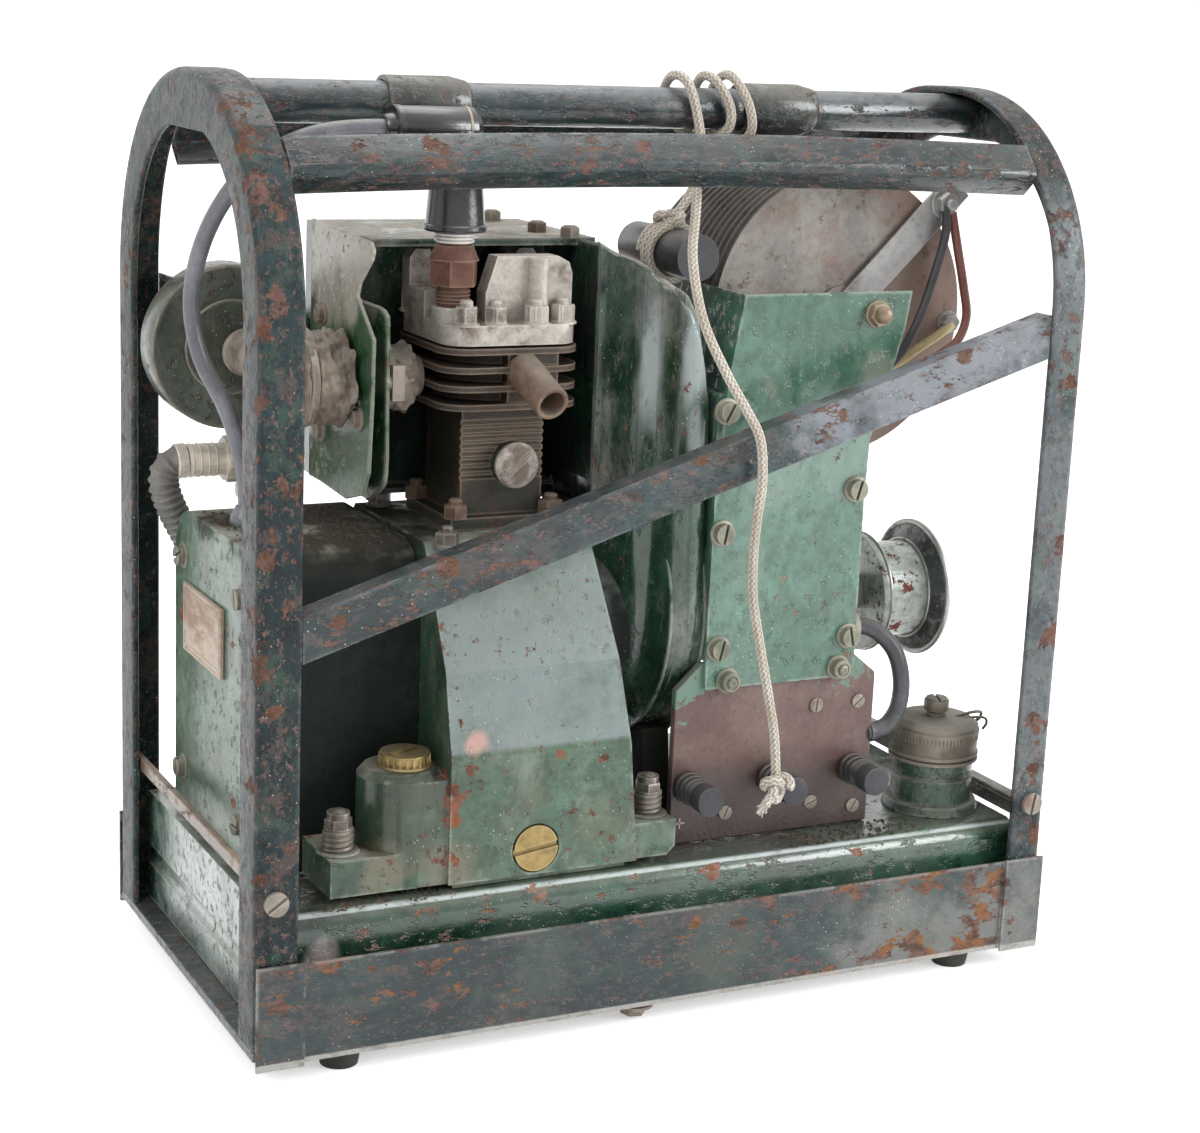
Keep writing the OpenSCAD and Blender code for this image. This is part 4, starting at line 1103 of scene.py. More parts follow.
class FinishIgnition(bpy.types.Operator):
    """Finishes the sparking plug, its cap and the lead"""

    bl_idname = "charging_set.ignition"
    bl_label = "Ignition"

    def execute(self, context):
        plug = bare_metal("plug iron", "6e4a3d", "51332a", "a98d78", 0.35, 0.55, patches=0.6, bump=0.0003,
            seed=13.0, wear=0.7)
        dress("spark_plug", plug, 0.0006, 25)
        collar = Stock()
        for k in range(4):
            collar.turned([(6.4, 0), (6.95, 0.55), (6.4, 1.1)], (-76.2, -21, 288.2 + 1.5 * k), sides=36)
        collar.make("plug_collar", plug, "plug_iron")
        cap = moulded("cap moulding", "1b1a1d", "2c2b30", 0.24, dusty=0.2, rubbed=0.35, gloss=0.5)
        dress("plug_cap", cap, 0.0009, 25)
        rings = Stock()
        rings.turned([(12.2, 0), (12.7, 0.7), (12.6, 2.0), (11.9, 2.6)], (-76.2, -21, 317.2), sides=48)
        rings.turned([(8.5, 0), (9.1, 0.5), (9.1, 2.4), (8.5, 2.9)], (-103.4, -21, 356.5), RIGHT, 36)
        rings.turned([(4.6, 0), (5.4, 0.8), (5.9, 3.6)], (-107.0, -21, 356.5), RIGHT, 28)
        rings.make("cap_rings", cap, "black_moulding")
        band = bare_metal("clip metal", "9a9080", "5e5145", "cfc8ba", 0.7, 0.35, patches=0.3)
        strap = Stock()
        strap.turned([(8.72, 0), (8.95, 0.15), (8.95, 1.1), (8.72, 1.25)], (-74.0, -21, 356.5), RIGHT, 36)
        strap.make("cap_band", band, "stud_steel")
        white = Stock()
        for k in range(3):
            white.turned([(7.4, 0), (8.0, 0.5), (8.0, 0.9), (7.4, 1.3)], (-76.2, -21, 312.4 + 1.4 * k),
                sides=40)
        white.make("plug_insulator", moulded("plug porcelain", "c9c4bb", "ddd9d1", 0.3, dusty=0.3, gloss=0.6),
            "plug_iron")
        lead = moulded("lead rubber", "55565b", "717278", 0.45, dusty=0.35, rubbed=0.2, gloss=0.4)
        dress("plug_lead", lead)
        NODES["plug_lead"].modifiers.new("join", "WELD").merge_threshold = WELD_GAP
        fair = NODES["plug_lead"].modifiers.new("fair", "SUBSURF")
        fair.levels = fair.render_levels = 2
        boot = Stock()
        boot.turned([(6.6, 0), (6.8, 0.6), (6.4, 3.5), (5.0, 5.5), (4.4, 7.4)], (-150, 12, 196.1), sides=32)
        boot.make("lead_boot", lead, "lead_rubber")
        return {"FINISHED"}


class FinishIntake(bpy.types.Operator):
    """Finishes the carburettor, the air cleaner, the heat shield and the breather"""

    bl_idname = "charging_set.intake"
    bl_label = "Intake"

    def execute(self, context):
        alloy = bare_metal("carburettor alloy", "a1968a", "6b5c4f", "c2b8aa", 0.1, 0.75, patches=0.8,
            bump=0.0009, dusty=0.6, seed=15.0)
        dress("carburettor", alloy, 0.0006, 28)
        crust = bare_metal("intake crust", "9d9083", "65574a", "b8ac9e", 0.0, 0.9, patches=0.8, bump=0.0012,
            dusty=0.5, seed=29.0, wear=0.3)
        dirt = Stock()
        for start, length, size, lump, seed in ((-137.5, 20, 15.6, 5.6, 3.0), (-102.5, 13, 10.6, 4.6, 8.0)):
            points, rows, turns = [], 36, 96
            for i in range(rows + 1):
                t = i / rows
                for k in range(turns):
                    a = tau * k / turns
                    x = start + length * t
                    rough = noise.noise(Vector((x * 0.16, cos(a) * 2.2, sin(a) * 2.2 + seed)))
                    rough += 0.45 * noise.noise(Vector((x * 0.45, cos(a) * 6, sin(a) * 6 + seed)))
                    reach = (size + lump * (0.45 + 0.75 * rough)) * min(1.0, 0.35 + 3.2 * sin(pi * t) ** 0.7)
                    points.append((x, -9 + reach * cos(a), 258 + reach * sin(a)))
            walls = [face[1:] + face[:1] for face in tube(rows + 1, turns, ends=False)]
            dirt.add(points, walls + tube(rows + 1, turns)[-2:])
        dirt.make("intake_dirt", crust, "carburettor_alloy", smooth=70)
        olive = old_paint(
            "air cleaner paint", "3a4236", "51584a", "78736a", "6a5546", "6b4a30", "a6a196", dusty=0.35,
            chips=0.3, wear=0.6, grime=0.5, seed=71.0, sheen=0.38, fleck=0.3,
        )
        dress("air_cleaner", olive, 0.0009, 28)
        rim = Stock()
        for size, y, thick in ((33.0, 44.6, 0.8), (33.0, 60.0, 0.8), (19.2, 44.5, 0.7)):
            loop = [(x, y, z) for x, z in circle(72, size, -146, 263)]
            rim.swept(loop + loop[:1], thick, 8)
        worn = bare_metal("cleaner rim metal", "7c766b", "43463b", "b3ab9d", 0.4, 0.5, patches=0.8)
        rim.make("cleaner_rim", worn, "cleaner_paint")
        shield = old_paint(
            "heat shield paint", "254c2e", "3f6642", "a89d92", "a79d91", "7b4f35", "b5b1a6", dusty=0.55,
            chips=0.35, wear=0.7, grime=0.55, seed=73.0, sheen=0.34,
            # painted light: pale beige clouds on the upper sheet
            pale=[(-116, -26, 304, 20), (-116, -8, 306, 24), (-116, 16, 304, 28), (-116, 20, 286, 16),
                (-116, -14, 292, 14)],
            pale_dust_and_sheen="b3aa9f",
        )
        dress("heat_shield", shield, 0.0005, 28)
        lip = Stock()
        lip.swept(rounded([(-107.2, 33.6, 287.2), (-107.2, -10, 286.8), (-107.2, -23.5, 286.6),
                    (-107.2, -28.4, 285), (-107.2, -30.1, 281), (-107.2, -30.8, 250), (-107.2, -31.3, 223.4),
                    (-107.2, -25.4, 215.4), (-107.2, -12, 209.2)], 4), 1.0, 8)
        lip.make("shield_lip", shield, "shield_paint")
        flange = Stock()
        for y in (-21.5, 3.5):
            flange.screw((-102.6, y, 257.6), LEFT, 6.4, 30 * y, tall=2.2)
        for y, z in ((-24.5, 244), (18, 280), (18, 232)):
            flange.screw((-116.0, y, z), LEFT, 6.8, 40 + z, washer=9.6)
        flange.turned([(3.4, 0), (3.4, 7), (2.8, 8)], (-112, -9, 267), (0, -0.5, 1), 20)
        flange.make("intake_screws", alloy, "carburettor_alloy", bevel=0.0002)
        pipe = Stock()
        for y in (16, 40.6):
            pipe.turned([(9.2, 0), (9.9, 0.5), (9.9, 2.6), (9.2, 3.1)], (-140.6, y, 261), BACK, 36)
        pipe.make("intake_pipe_rings", alloy, "carburettor_alloy")
        brass = bare_metal("union metal", "ded3c3", "a4957d", "f2ece0", 0.15, 0.4, patches=0.25, seed=17.0)
        dress("hose_union", brass, 0.0007, 25)
        details = Stock()
        details.nut((-143.4, 62, 213), RIGHT, 17.4, 7.0, 10)
        for k in range(4):
            details.turned([(6.9, 0), (7.35, 0.3), (6.9, 0.6)], (-158.8 + 3.4 * k, 62, 213), RIGHT, 32)
        details.turned([(9.1, 0), (9.6, 0.5), (9.6, 2.2), (9.1, 2.7)], (-120.6, 62, 213), RIGHT, 40)
        details.nut((-131, 62, 196.6), UP, 13.6, 5.0, 20)
        details.make("union_details", brass, "cap_brass")
        rubber = moulded("hose rubber", "625f5c", "89867f", 0.6, dusty=0.6, rubbed=0.5, dust="7a766e")
        dress("breather_hose", rubber)
        path = rounded([(-160.9, 62, 213), (-163.2, 62, 213), (-165.7, 62, 212.6), (-168.6, 62.3, 209.6),
                (-169.2, 63, 203.5), (-166.6, 64.5, 195.5), (-162.6, 66.5, 187.5), (-157.5, 68.5, 178.5),
                (-151, 71, 166), (-146, 73, 148), (-144, 74, 120), (-144, 74, 64.3)], 14)
        even, total = evenly(path, 420)
        hose = Stock()
        hose.swept(even, lambda t: 5.6 + 0.95 * max(0.0, cos(tau * t * total / 3.4)) ** 0.6, 28)
        made = hose.make("hose_corrugated", rubber, "hose_rubber", smooth=60)
        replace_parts(made, "breather_hose")
        clamp = Stock()
        clamp.turned([(7.1, 0), (7.4, 0.3), (7.4, 4.2), (7.1, 4.5)], (-164.8, 62, 212.9), (1, 0, 0.05), 32)
        clamp.make("hose_clamp", brass, "cap_brass")
        return {"FINISHED"}


def skin_of_cowl(paint):
    """The pressed front sheet of the duct, with its two soft ridges and its rolled top"""
    run = ((-14.3, -25), (-10, -29.5), (-7, -35), (-5, -40.5), (-3, -43.6), (0, -45.6), (3, -46), (5, -48.5),
        (6.4, -54.6), (8, -58.4), (10, -60), (13.5, -60.8), (17, -60.8), (20, -60.2), (22, -58), (23.6, -55))
    tops = ((-14.3, 312.4), (-11, 309), (-2, 304.5), (4.5, 300), (10, 294.5), (14.5, 286.5), (19, 265.5),
        (22, 240.5), (23.6, 216))

    left, right = run[0][0], run[-1][0]
    drum, shaft = 62.5, 161  # radius of the fan casing and level of its shaft

    def read(table, x):
        x = min(right, max(left, x))
        for (a, p), (b, q) in zip(table, table[1:]):
            if x <= b:
                return p + (q - p) * (x - a) / (b - a)
        return table[-1][1]

    columns, rows = 76, 110
    points = []
    for back in (0.0, 1.2):
        for i in range(columns + 1):
            x = left + (right - left) * i / columns
            near = [read(run, x + d) for d in (-2.4, -1.6, -0.8, 0, 0.8, 1.6, 2.4)]
            front = min(sum(near) / 7, read(run, x) + 0.5) - 0.9
            top = sum(read(tops, x + d) for d in (-2, -1, 0, 1, 2)) / 5 + 0.9
            roll = 3.0 + 9.5 * min(1.0, max(0.0, (x + 1) / 10))
            for k in range(rows + 1):
                if k < 20:
                    z = 112 + 48 * k / 20
                    y = front + drum - sqrt(drum**2 - (shaft - z) ** 2)
                elif k < 80:
                    y, z = front, 160 + (top - roll - 160) * (k - 20) / 60
                else:
                    a = pi / 2 * (k - 80) / 30
                    y, z = front + roll * (1 - cos(a)), top - roll + roll * sin(a)
                points.append((x, y + back, z - back * (k >= 80)))
    side = (columns + 1) * (rows + 1)
    faces = []
    for i in range(columns):
        for k in range(rows):
            a, b = i * (rows + 1) + k, (i + 1) * (rows + 1) + k
            faces.append((a, b, b + 1, a + 1))
            faces.append((side + a, side + a + 1, side + b + 1, side + b))
    for k in range(rows):
        last = columns * (rows + 1) + k
        faces.append((k, k + 1, side + k + 1, side + k))
        faces.append((last + 1, last, side + last, side + last + 1))
    for i in range(columns):
        a, b = i * (rows + 1), (i + 1) * (rows + 1)
        faces.append((b, a, side + a, side + b))
        faces.append((a + rows, b + rows, side + b + rows, side + a + rows))
    sheet = Stock()
    sheet.add(points, faces)
    sheet.make("cowl_front_sheet", paint, "cowl_paint", smooth=60)


class FinishCowl(bpy.types.Operator):
    """Paints the fan cowl and adds the bolts of its top plate"""

    bl_idname = "charging_set.cowl"
    bl_label = "Fan cowl"

    def execute(self, context):
        e = context.scene.charging_engine
        paint = old_paint(
            "cowl paint", e.deep, "2c4d3a", "a39c92", e.chip, "6d4a35", "a5aaa5", dusty=1.0, chips=0.22,
            wear=0.8, grime=0.6, fleck=0.2, sheen=0.27, gloss=0.75, streak=(1, 1, 0.5), seed=81.0,
            places=[(-20, 0, 312, 5), (-44, 20, 312, 7)], tall=4.0,
            # painted highlights: pale streaks on the front ridges
            pale=[(0.5, -46.5, 266, 7), (13.0, -61.5, 268, 6), (14.0, -61.5, 240, 4)], pale_dust_and_sheen="949e9d",
            # painted shadow: near-black clouds inside the cowl behind and beside the cylinder
            stains_and_shade=[(-60, 18, 250, 50), (-90, 20, 230, 40), (-30, 10, 280, 34), (-30, 10, 220, 34),
                (-13, -22, 225, 7), (-13, -22, 262, 7), (-13, -22, 295, 7)],
            stain="0f1110",
        )
        dress("fan_cowl", paint, 0.0024, 16)
        # Near-black blocks under the cowl's drum and inside the cowl: a dark casing put where there is shade,
        # its colour painted shade
        foot = Stock()
        foot.prism([(-44, 64.8), (44, 64.8), (38, 108), (-38, 108)], 13, (8.5, 0, 0), RIGHT)
        foot.prism([(-23, 198.6), (60, 198.6), (60, 201.0), (-23, 201.0)], 24, (-16.8, 0, 0), RIGHT)
        foot.make("fan_casing_foot_in_shade", moulded("painted shade sheet", "161714", "23221e", 0.8, dusty=0.15, rubbed=0.2),
            "cowl_paint", bevel=0.001)
        skin_of_cowl(paint)
        steel = bare_metal("cowl bolt steel", "7a7266", "5a4334", "b3aa9c", 0.5, 0.5, patches=0.7, seed=3.0,
            dusty=0.6)
        bolts = Stock()
        for x, y in ((-22.2, 18.5), (-16.5, -1.5), (-22, 66)):
            bolts.nut((x, y, 311.9), UP, 7.6, 4.2, 25 + x)
            bolts.turned([(3.0, 0), (3.0, 0.5), (2.4, 0.9)], (x, y, 315.9), sides=20)
        bolts.make("cowl_bolts", steel, "stud_steel")
        seam = Stock()
        ring = circle(96, 61.0, 161)
        for x in (23.2, 7.4):
            seam.swept([(x, y, z) for z, y in ring + ring[:1]], 0.8, 8)
        seam.make("cowl_seam", paint, "cowl_paint")
        rear = Stock()
        for y, z in ((30, 205), (55, 140), (-30, 110), (35, 110)):
            rear.screw((23.3, y, z), RIGHT, 8.0, y + z, washer=11.0)
        rear.make("cowl_side_screws", steel, "stud_steel", bevel=0.0002)
        return {"FINISHED"}


class FinishControlBox(bpy.types.Operator):
    """Paints the control box and adds its screws, studs and gland"""

    bl_idname = "charging_set.control_box"
    bl_label = "Control box"

    def execute(self, context):
        e = context.scene.charging_engine
        small = context.scene.charging_small
        paint = old_paint(
            "control box paint", e.panel, "527a68", "9aa096", "8a7c68", "7c5a3f", "aab3a8", dusty=0.3,
            chips=0.22, wear=0.6, grime=0.35, fleck=0.28, sheen=0.28, gloss=0.8, streak=(1, 1, 0.8),
            seed=91.0,
            # painted light: paler clouds on the upper front
            extra=(([(50, -64, 232, 30), (86, -64, 226, 26), (70, -64, 250, 16)], "80948a", 0.45),),
            places=[(92, -64, 140, 3), (27, -64, 140, 3), (96, -64, 180, 3)],
            pale=[(46, -64, 258, 7), (96, -64, 262, 9)], pale_dust_and_sheen="6f7a68",
        )
        dress("control_box", paint, 0.0009, 25)
        steel = bare_metal("box screw steel", "878474", "56604f", "b9b5a7", 0.45, 0.5, patches=0.5, seed=19.0)
        screws = Stock()
        head = small.screw_head / MM
        slot = small.slot_width / MM
        for x, z, turn in ((26.6, 248.2, 62), (27.4, 197.8, 80), (28.4, 148.8, 76), (90.2, 213.0, 74),
                (91.2, 149.3, 102)):
            screws.screw((x, -63.9, z), FRONT, head, turn, washer=head + 2.4, tall=3.2, slot=slot)
        screws.make("box_screws", steel, "stud_steel", bevel=0.0002)
        studs = Stock()
        for x, z in ((33.5, 134.7), (87.4, 135.7)):
            studs.turned([(5.4, -0.2), (5.4, 0.7), (5.0, 1.0)], (x, -63.9, z), FRONT, 36)
            studs.turned([(4.2, 0), (4.2, 3.2), (3.7, 3.8), (3.0, 3.8), (2.8, 3.3), (2.3, 3.3), (2.0, 4.6),
                    (1.2, 4.9), (0.9, 4.5), (0.3, 4.5)], (x, -64.9, z), FRONT, 40)
        studs.make("box_studs", steel, "stud_steel")
        big = Stock()
        big.turned([(5.6, 0), (5.6, 0.8), (5.2, 1.1)], (95.3, -63.9, 286.4), FRONT, 36)
        big.nut((95.3, -64.7, 286.4), FRONT, 9.2, 3.6, 14)
        big.turned([(3.4, 0), (3.6, 0.8), (3.4, 3.4), (2.6, 4.4), (1.5, 4.8), (0.4, 4.9)],
            (95.3, -67.6, 286.4), FRONT, 28)
        worn = bare_metal("nut metal", "8f7d68", "5c4636", "c6b69e", 0.6, 0.42, patches=0.6, seed=21.0)
        big.make("box_nut", worn, "stud_steel")
        hood = Stock()
        hood.turned([(9.6, 0), (9.6, 5.5), (8.4, 9.5), (5.6, 11.5), (4.9, 11.5)], (92.0, -50, 149),
            (1, -0.05, 0.1), 36)
        hood.turned([(6.0, 0), (6.0, 3.5), (5.4, 4.2)], (99.5, -50.4, 149.7), (1, -0.15, 0.02), 28)
        hood.make("box_gland", moulded("gland moulding", "8d8576", "a39a8a", 0.6, dusty=0.4),
            "black_moulding")
        side = Stock()
        for y, z in ((-50, 240), (-50, 180), (0, 208), (0, 152)):
            side.screw((92.9, y, z), RIGHT, 7.4, y + z, washer=10.4)
        side.make("box_side_screws", steel, "stud_steel", bevel=0.0002)
        return {"FINISHED"}


class FinishRectifier(bpy.types.Operator):
    """Finishes the rectifier stack with its strap and wires"""

    bl_idname = "charging_set.rectifier"
    bl_label = "Rectifier"

    def execute(self, context):
        r = Recipe("rectifier coating")
        cloud = r.between(r.noise(28, 6, 0.65), 0.36, 0.66)
        fine = r.noise(230, 7, 0.72, seed=2)
        r.colour = r.mix(cloud, "7f7a75", "9a948d")
        r.cover(r.between(fine, 0.42, 0.75, 0.0, 0.45), "5c544e")
        front = r.facing(1, -0.6, -0.9)
        warm = r.most(r.between(r.noise(36, 8, 0.72, seed=4), 0.5, 0.7), r.along(0, 0.108, 0.125))
        r.cover(warm, "7b5f51", 0.75)
        speck = r.between(r.noise(170, 8, 0.75, seed=6), 0.57, 0.66)
        r.cover(speck, "5e4133", 0.75)
        r.cover(r.between(r.noise(420, 4, 0.7, seed=8), 0.66, 0.72), "c7beb2", 0.6)
        shade = r.times(r.sum("SUBTRACT", 1.0, front), 0.8)
        r.cover(shade, "2c2825")
        r.cover(r.edges(0.0010, 0.05, 0.3), "8c8580", 0.7)
        coating = r.finish(0.62, 0.15, fine, 0.0003)
        dress("rectifier_plates", coating, 0.00035, 30)
        strap = bare_metal("strap metal", "9a9896", "6a6662", "cfcdc9", 0.55, 0.45, patches=0.5, dusty=0.2,
            seed=23.0)
        dress("rectifier_strap", strap, 0.0005, 25)
        parts = Stock()
        parts.turned([(9.4, 0), (9.4, 1.4), (8.9, 1.8)], (93, -41.3, 283), FRONT, 36)
        parts.nut((93, -42.8, 283), FRONT, 15.0, 6.4, 20)
        parts.turned([(4.4, 0), (4.4, 4.0), (3.8, 4.8)], (93, -48.6, 283), FRONT, 24)
        parts.turned([(6.4, 0), (6.4, 1.0), (6.0, 1.3)], (139.5, -41.4, 329.5), FRONT, 28)
        parts.nut((139.5, -42.4, 329.5), FRONT, 8.4, 3.8, 35)
        parts.turned([(2.3, 0), (2.3, 2.4), (1.8, 3.0)], (139.5, -45.8, 329.5), FRONT, 20)
        parts.turned([(5.0, 0), (5.0, 0.9), (4.6, 1.2)], (148.2, -37.9, 278.4), FRONT, 24)
        parts.nut((148.2, -38.9, 278.4), FRONT, 7.0, 3.2, 5)
        parts.make("rectifier_nuts", strap, "strap_metal")
        lugs = Stock()
        for top, down in (((139.5, -43.2, 329.5), (138.2, -44.6, 322)),
                ((141.6, -43.0, 329.0), (143.4, -44.8, 321))):
            lugs.swept([top, tuple((a + b) / 2 for a, b in zip(top, down)), down], 1.5, 10)
        lugs.swept([(148.2, -39.6, 278.4), (146, -40.2, 276.6), (142, -41.6, 273.8)], 1.4, 10)
        lugs.make("wire_lugs", strap, "strap_metal")
        covers = (
            ("wire_black", moulded("black wire cover", "262528", "3a393c", 0.45, dusty=0.25),
                [(138, -44.4, 331), (138, -47, 318), (133, -48, 300), (127, -48, 282), (119, -48, 267),
                    (109, -48, 259.6), (97, -48, 258), (88, -48, 257)]),
            ("wire_red", moulded("red wire cover", "6a3a32", "7d4b40", 0.5, dusty=0.25), [(142.4, -44.2, 326),
                    (145, -46, 312), (149, -47, 295), (151, -48, 282), (146, -50, 272), (136, -52, 266.5),
                    (124, -54, 260), (110, -55, 257.4), (97, -55, 257), (88, -55, 257)]),
            ("wire_yellow", moulded("yellow wire cover", "b09c66", "c6b787", 0.5, dusty=0.3),
                [(148.5, -41, 277.5), (141, -42, 273), (132, -42, 268), (122, -42, 262), (110, -42, 257.6),
                    (98, -42, 257), (88, -42, 257)]),
        )
        for name, cover, points in covers:
            wire = Stock()
            wire.swept(rounded(points, 10), 1.9, 16)
            piece = wire.make(name, cover, "wire_cover", smooth=80)
            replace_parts(piece, "rectifier_wires")
        return {"FINISHED"}


class FinishBoard(bpy.types.Operator):
    """Finishes the terminal board, its terminals and the cable to it"""

    bl_idname = "charging_set.board"
    bl_label = "Terminal board"

    def execute(self, context):
        small = context.scene.charging_small
        board = moulded(
            "board moulding", "5c4540", "6f5851", 0.42, dusty=0.5, rubbed=0.4, bump=0.0003, darker_below=(116, 74),
            over="5f7d6d",
            places=[(14, -62, 134, 12), (24, -62, 141, 10), (40, -62, 143, 7), (60, -62, 144, 5),
                (96, -62, 138, 11), (86, -62, 143, 6)],
        )
        dress("terminal_board", board, 0.0007)
        black = moulded("terminal moulding", "232325", "3b3a3b", 0.5, dusty=0.6, rubbed=0.3, bump=0.0003)
        dress("terminals", black, 0.0006, 28)
        knob = moulded("knob moulding", "232328", "313036", 0.5, dusty=0.1, rubbed=0.35)
        ends = Stock()
        for x in (18, 58, 98):
            ends.turned([(5.7, 0), (6.15, 0.4), (6.15, 7.2), (5.6, 8.2), (4.8, 8.4)], (x, -75.9, 89.5), FRONT,
                40)
        ends.make("terminal_knobs", knob, "black_moulding")
        steel = bare_metal("board screw steel", "8d8378", "5f4f44", "bdb4a6", 0.5, 0.5, patches=0.6,
            seed=25.0)
        screws = Stock()
        for x, z, turn in ((78.9, 119.3, 84), (99.9, 119.2, 40), (100.4, 72.0, 58), (79, 76, 20),
                (37, 76, 65)):
            screws.screw((x, -62.0, z), FRONT, 6.2, turn, tall=1.0, slot=small.slot_width / MM * 0.8)
        screws.make("board_screws", steel, "stud_steel", bevel=0.00015)
        marks = Stock()
        for x in (18, 58):
            for across in (0, 90):
                marks.prism([(-2.3, -0.35), (2.3, -0.35), (2.3, 0.35), (-2.3, 0.35)], 0.22,
                    (x - 2.5, -62.05, 73.5), FRONT, across)
        fill = bare_metal("engraved fill", "a89f94", "7d7168", "c4bcb0", 0.0, 0.7, patches=0.6)
        marks.make("polarity_marks", fill, "board_moulding")
        cable = moulded("cable cover", "3a3b3f", "55565b", 0.42, dusty=0.35)
        lead = Stock()
        lead.swept(rounded([(93.7, -50, 149), (98, -50.4, 149.6), (104.5, -52.4, 150), (112, -56, 147),
                    (118.5, -60, 139), (121.5, -62, 127), (121, -62, 115), (117.5, -60.5, 107),
                    (112, -60, 104.2), (106.5, -60, 103.6)], 8), 3.7, 20)
        lead.turned([(4.4, 0), (4.4, 2.2), (4.0, 2.8)], (107.6, -60, 103.7), (1, 0, 0.04), 24)
        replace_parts(lead.make("cable_to_board", cable, "wire_cover", smooth=80), "board_cable")
        return {"FINISHED"}


class FinishStarter(bpy.types.Operator):
    """Finishes the starter pulley, which turns with the crankshaft"""

    bl_idname = "charging_set.starter"
    bl_label = "Starter pulley"

    def execute(self, context):
        grey = old_paint(
            "pulley paint", "adb6ad", "c4c6bd", "b8b2a8", "7d4a3f", "74432e", "c3c1ba", dusty=0.1, chips=0.4,
            wear=0.9, grime=0.5, seed=101.0, sheen=0.32, gloss=0.6,
            ramps=((0, 152.6, 154.0, "24282a", 0.92, 0, 0.5, -0.9),),
            places=[(145, -30, 160, 8), (140, -28, 140, 7)],
        )
        dress("starter_pulley", grey, 0.0008, 25)
        bright = bare_metal("pulley rim metal", "a9a8a4", "7a7168", "dddbd6", 0.75, 0.36, patches=0.4,
            seed=27.0)
        rim = Stock()
        for x, size, thick in ((159.3, 29.6, 1.3), (154.2, 22.4, 0.6), (131.9, 26.4, 0.7)):
            loop = [(x, y, z) for y, z in circle(72, size, -9, 153)]
            rim.swept(loop + loop[:1], thick, 8)
        rim.turned([(27.5, 0), (26.0, 0.5), (18.0, 0.9), (10.0, 1.0), (9.6, 1.6)], (159.6, -9, 153), RIGHT,
            64)
        rim.nut((161.0, -9, 153), RIGHT, 16, 6.2, 12)
        rim.turned([(5.0, 0), (5.0, 3.0), (4.2, 3.8)], (166.6, -9, 153), RIGHT, 28)
        rim.make("pulley_rim", bright, "pulley_paint", body="starter")
        pin = Stock()
        for turn in (40, 160, 280):
            a = radians(turn)
            pin.screw((160.4, -9 + 20.5 * cos(a), 153 + 20.5 * sin(a)), RIGHT, 5.4, turn, tall=1.6)
        pin.make("pulley_screws", bright, "pulley_paint", body="starter")
        return {"FINISHED"}


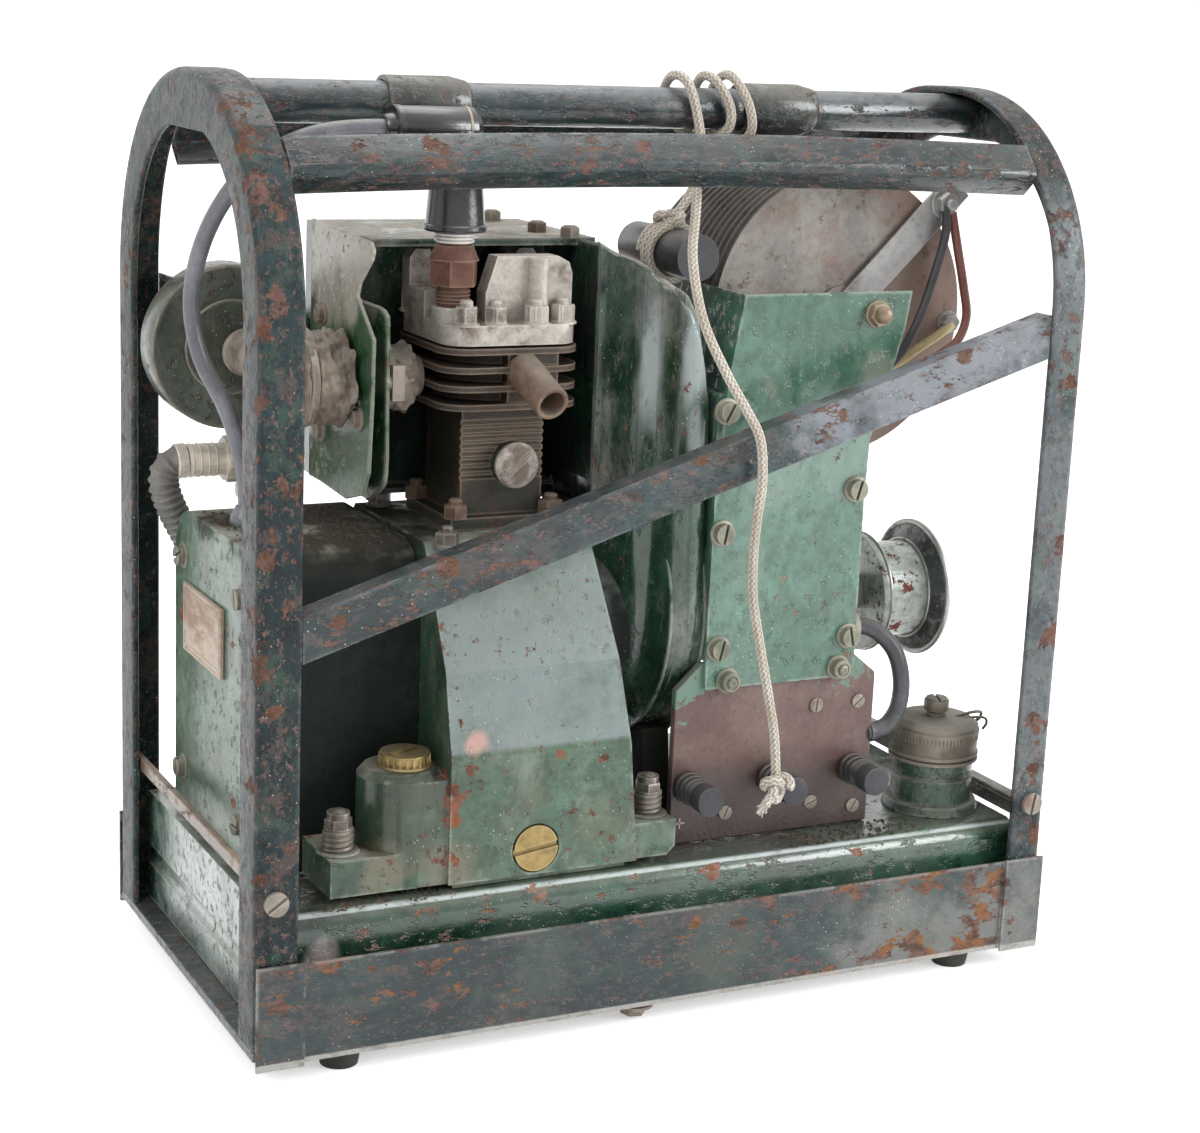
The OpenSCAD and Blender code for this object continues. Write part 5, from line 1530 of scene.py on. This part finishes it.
class BuildStage(bpy.types.Operator):
    """Lays the pale floor and sets the soft lamps"""

    bl_idname = "charging_set.stage"
    bl_label = "Stage"

    def execute(self, context):
        half, flat, rise, bend = 4.0, 1.6, 3.0, 1.2
        profile = [(-half, 0.0), (flat, 0.0)]
        profile += corner(flat, bend, bend, -90, 0, 16)[1:]
        profile.append((flat + bend, rise))
        points = [(x, y, z) for y, z in profile for x in (-half, half)]
        faces = [(2 * k, 2 * k + 1, 2 * k + 3, 2 * k + 2) for k in range(len(profile) - 1)]
        floor = link_mesh("floor", points, faces)
        r = Recipe("floor white")
        path = r.node("ShaderNodeLightPath")
        rays = r.most(r.most(path.outputs["Is Camera Ray"], path.outputs["Is Glossy Ray"]),
            path.outputs["Is Transmission Ray"])
        fine = r.noise(6, 3, 0.5)
        r.colour = r.mix(r.times(fine, 0.02), (0.93, 0.93, 0.93), (0.9, 0.9, 0.905))
        r.finish(0.95)
        lift = r.node("ShaderNodeEmission", None, {"Color": (1.0, 0.995, 0.998), "Strength": 0.45})
        shown = r.node("ShaderNodeAddShader")
        r.tree.links.new(r.shader.outputs[0], shown.inputs[0])
        r.tree.links.new(lift.outputs[0], shown.inputs[1])
        blend = r.node("ShaderNodeMixShader")
        r.feed(blend.inputs[0], rays)
        r.tree.links.new(r.shader.outputs[0], blend.inputs[1])
        r.tree.links.new(shown.outputs[0], blend.inputs[2])
        out = next(n for n in r.tree.nodes if n.type == "OUTPUT_MATERIAL")
        r.tree.links.new(blend.outputs[0], out.inputs["Surface"])
        floor.data.materials.append(r.material)
        world = bpy.data.worlds.new("studio")
        context.scene.world = world
        world.use_nodes = True
        tree = world.node_tree
        back = tree.nodes["Background"]
        back.inputs["Color"].default_value = (1.0, 1.0, 1.0, 1.0)
        path = tree.nodes.new("ShaderNodeLightPath")
        seen = path.outputs["Is Camera Ray"]
        for kind in ("Is Glossy Ray", "Is Transmission Ray"):
            joined = tree.nodes.new("ShaderNodeMath")
            joined.operation = "MAXIMUM"
            tree.links.new(seen, joined.inputs[0])
            tree.links.new(path.outputs[kind], joined.inputs[1])
            seen = joined.outputs[0]
        level = tree.nodes.new("ShaderNodeMath")
        level.operation = "MULTIPLY_ADD"
        tree.links.new(seen, level.inputs[0])
        level.inputs[1].default_value = 0.35
        level.inputs[2].default_value = 0.65
        tree.links.new(level.outputs[0], back.inputs["Strength"])
        lamps = (
            ("key", (-1.5, -0.7, 1.5), 19.0, 1.1, (0.98, 0.99, 1.0)),
            ("right", (1.5, -1.2, 0.9), 36.0, 1.0, (0.97, 0.99, 1.0)),
            ("top", (0.1, 0.5, 1.9), 18.0, 1.4, (0.98, 0.99, 1.0)),
        )
        for name, at, power, size, colour in lamps:
            data = bpy.data.lights.new(name, "AREA")
            data.energy = power
            data.size = size
            data.color = colour
            lamp = bpy.data.objects.new(name, data)
            lamp.location = at
            lamp.rotation_euler = (Vector((0, 0, 0.16)) - lamp.location).to_track_quat("-Z", "Y").to_euler()
            context.scene.collection.objects.link(lamp)
        context.scene.view_settings.view_transform = "Standard"
        return {"FINISHED"}


STEPS = (
    PlaceCamera, LayStarterCord, FinishCage, FinishTank, FinishCrankcase, FinishDynamo, FinishCylinder,
    FinishIgnition, FinishIntake, FinishCowl, FinishControlBox, FinishRectifier, FinishBoard, FinishStarter,
    BuildStage,
)


class ChargingSetPanel(bpy.types.Panel):
    """Lists the steps that finish the charging set"""

    bl_idname = "CHARGING_SET_PT_steps"
    bl_label = "Charging set"
    bl_space_type = "VIEW_3D"
    bl_region_type = "UI"
    bl_category = "Charging set"

    def draw(self, context):
        for name in ("charging_cage", "charging_engine", "charging_small"):
            group = getattr(context.scene, name)
            box = self.layout.box()
            for key in group.__annotations__:
                box.prop(group, key)
        for step in STEPS:
            self.layout.operator(step.bl_idname)


CLASSES = (CageFinish, EngineFinish, SmallParts) + STEPS + (ChargingSetPanel,)


def register():
    for each in CLASSES:
        bpy.utils.register_class(each)
    bpy.types.Scene.charging_cage = PointerProperty(type=CageFinish)
    bpy.types.Scene.charging_engine = PointerProperty(type=EngineFinish)
    bpy.types.Scene.charging_small = PointerProperty(type=SmallParts)


def unregister():
    del bpy.types.Scene.charging_small
    del bpy.types.Scene.charging_engine
    del bpy.types.Scene.charging_cage
    for each in reversed(CLASSES):
        bpy.utils.unregister_class(each)


def main():
    register()
    for step in STEPS:
        group, name = step.bl_idname.split(".")
        getattr(getattr(bpy.ops, group), name)()


if __name__ == "__main__":
    main()
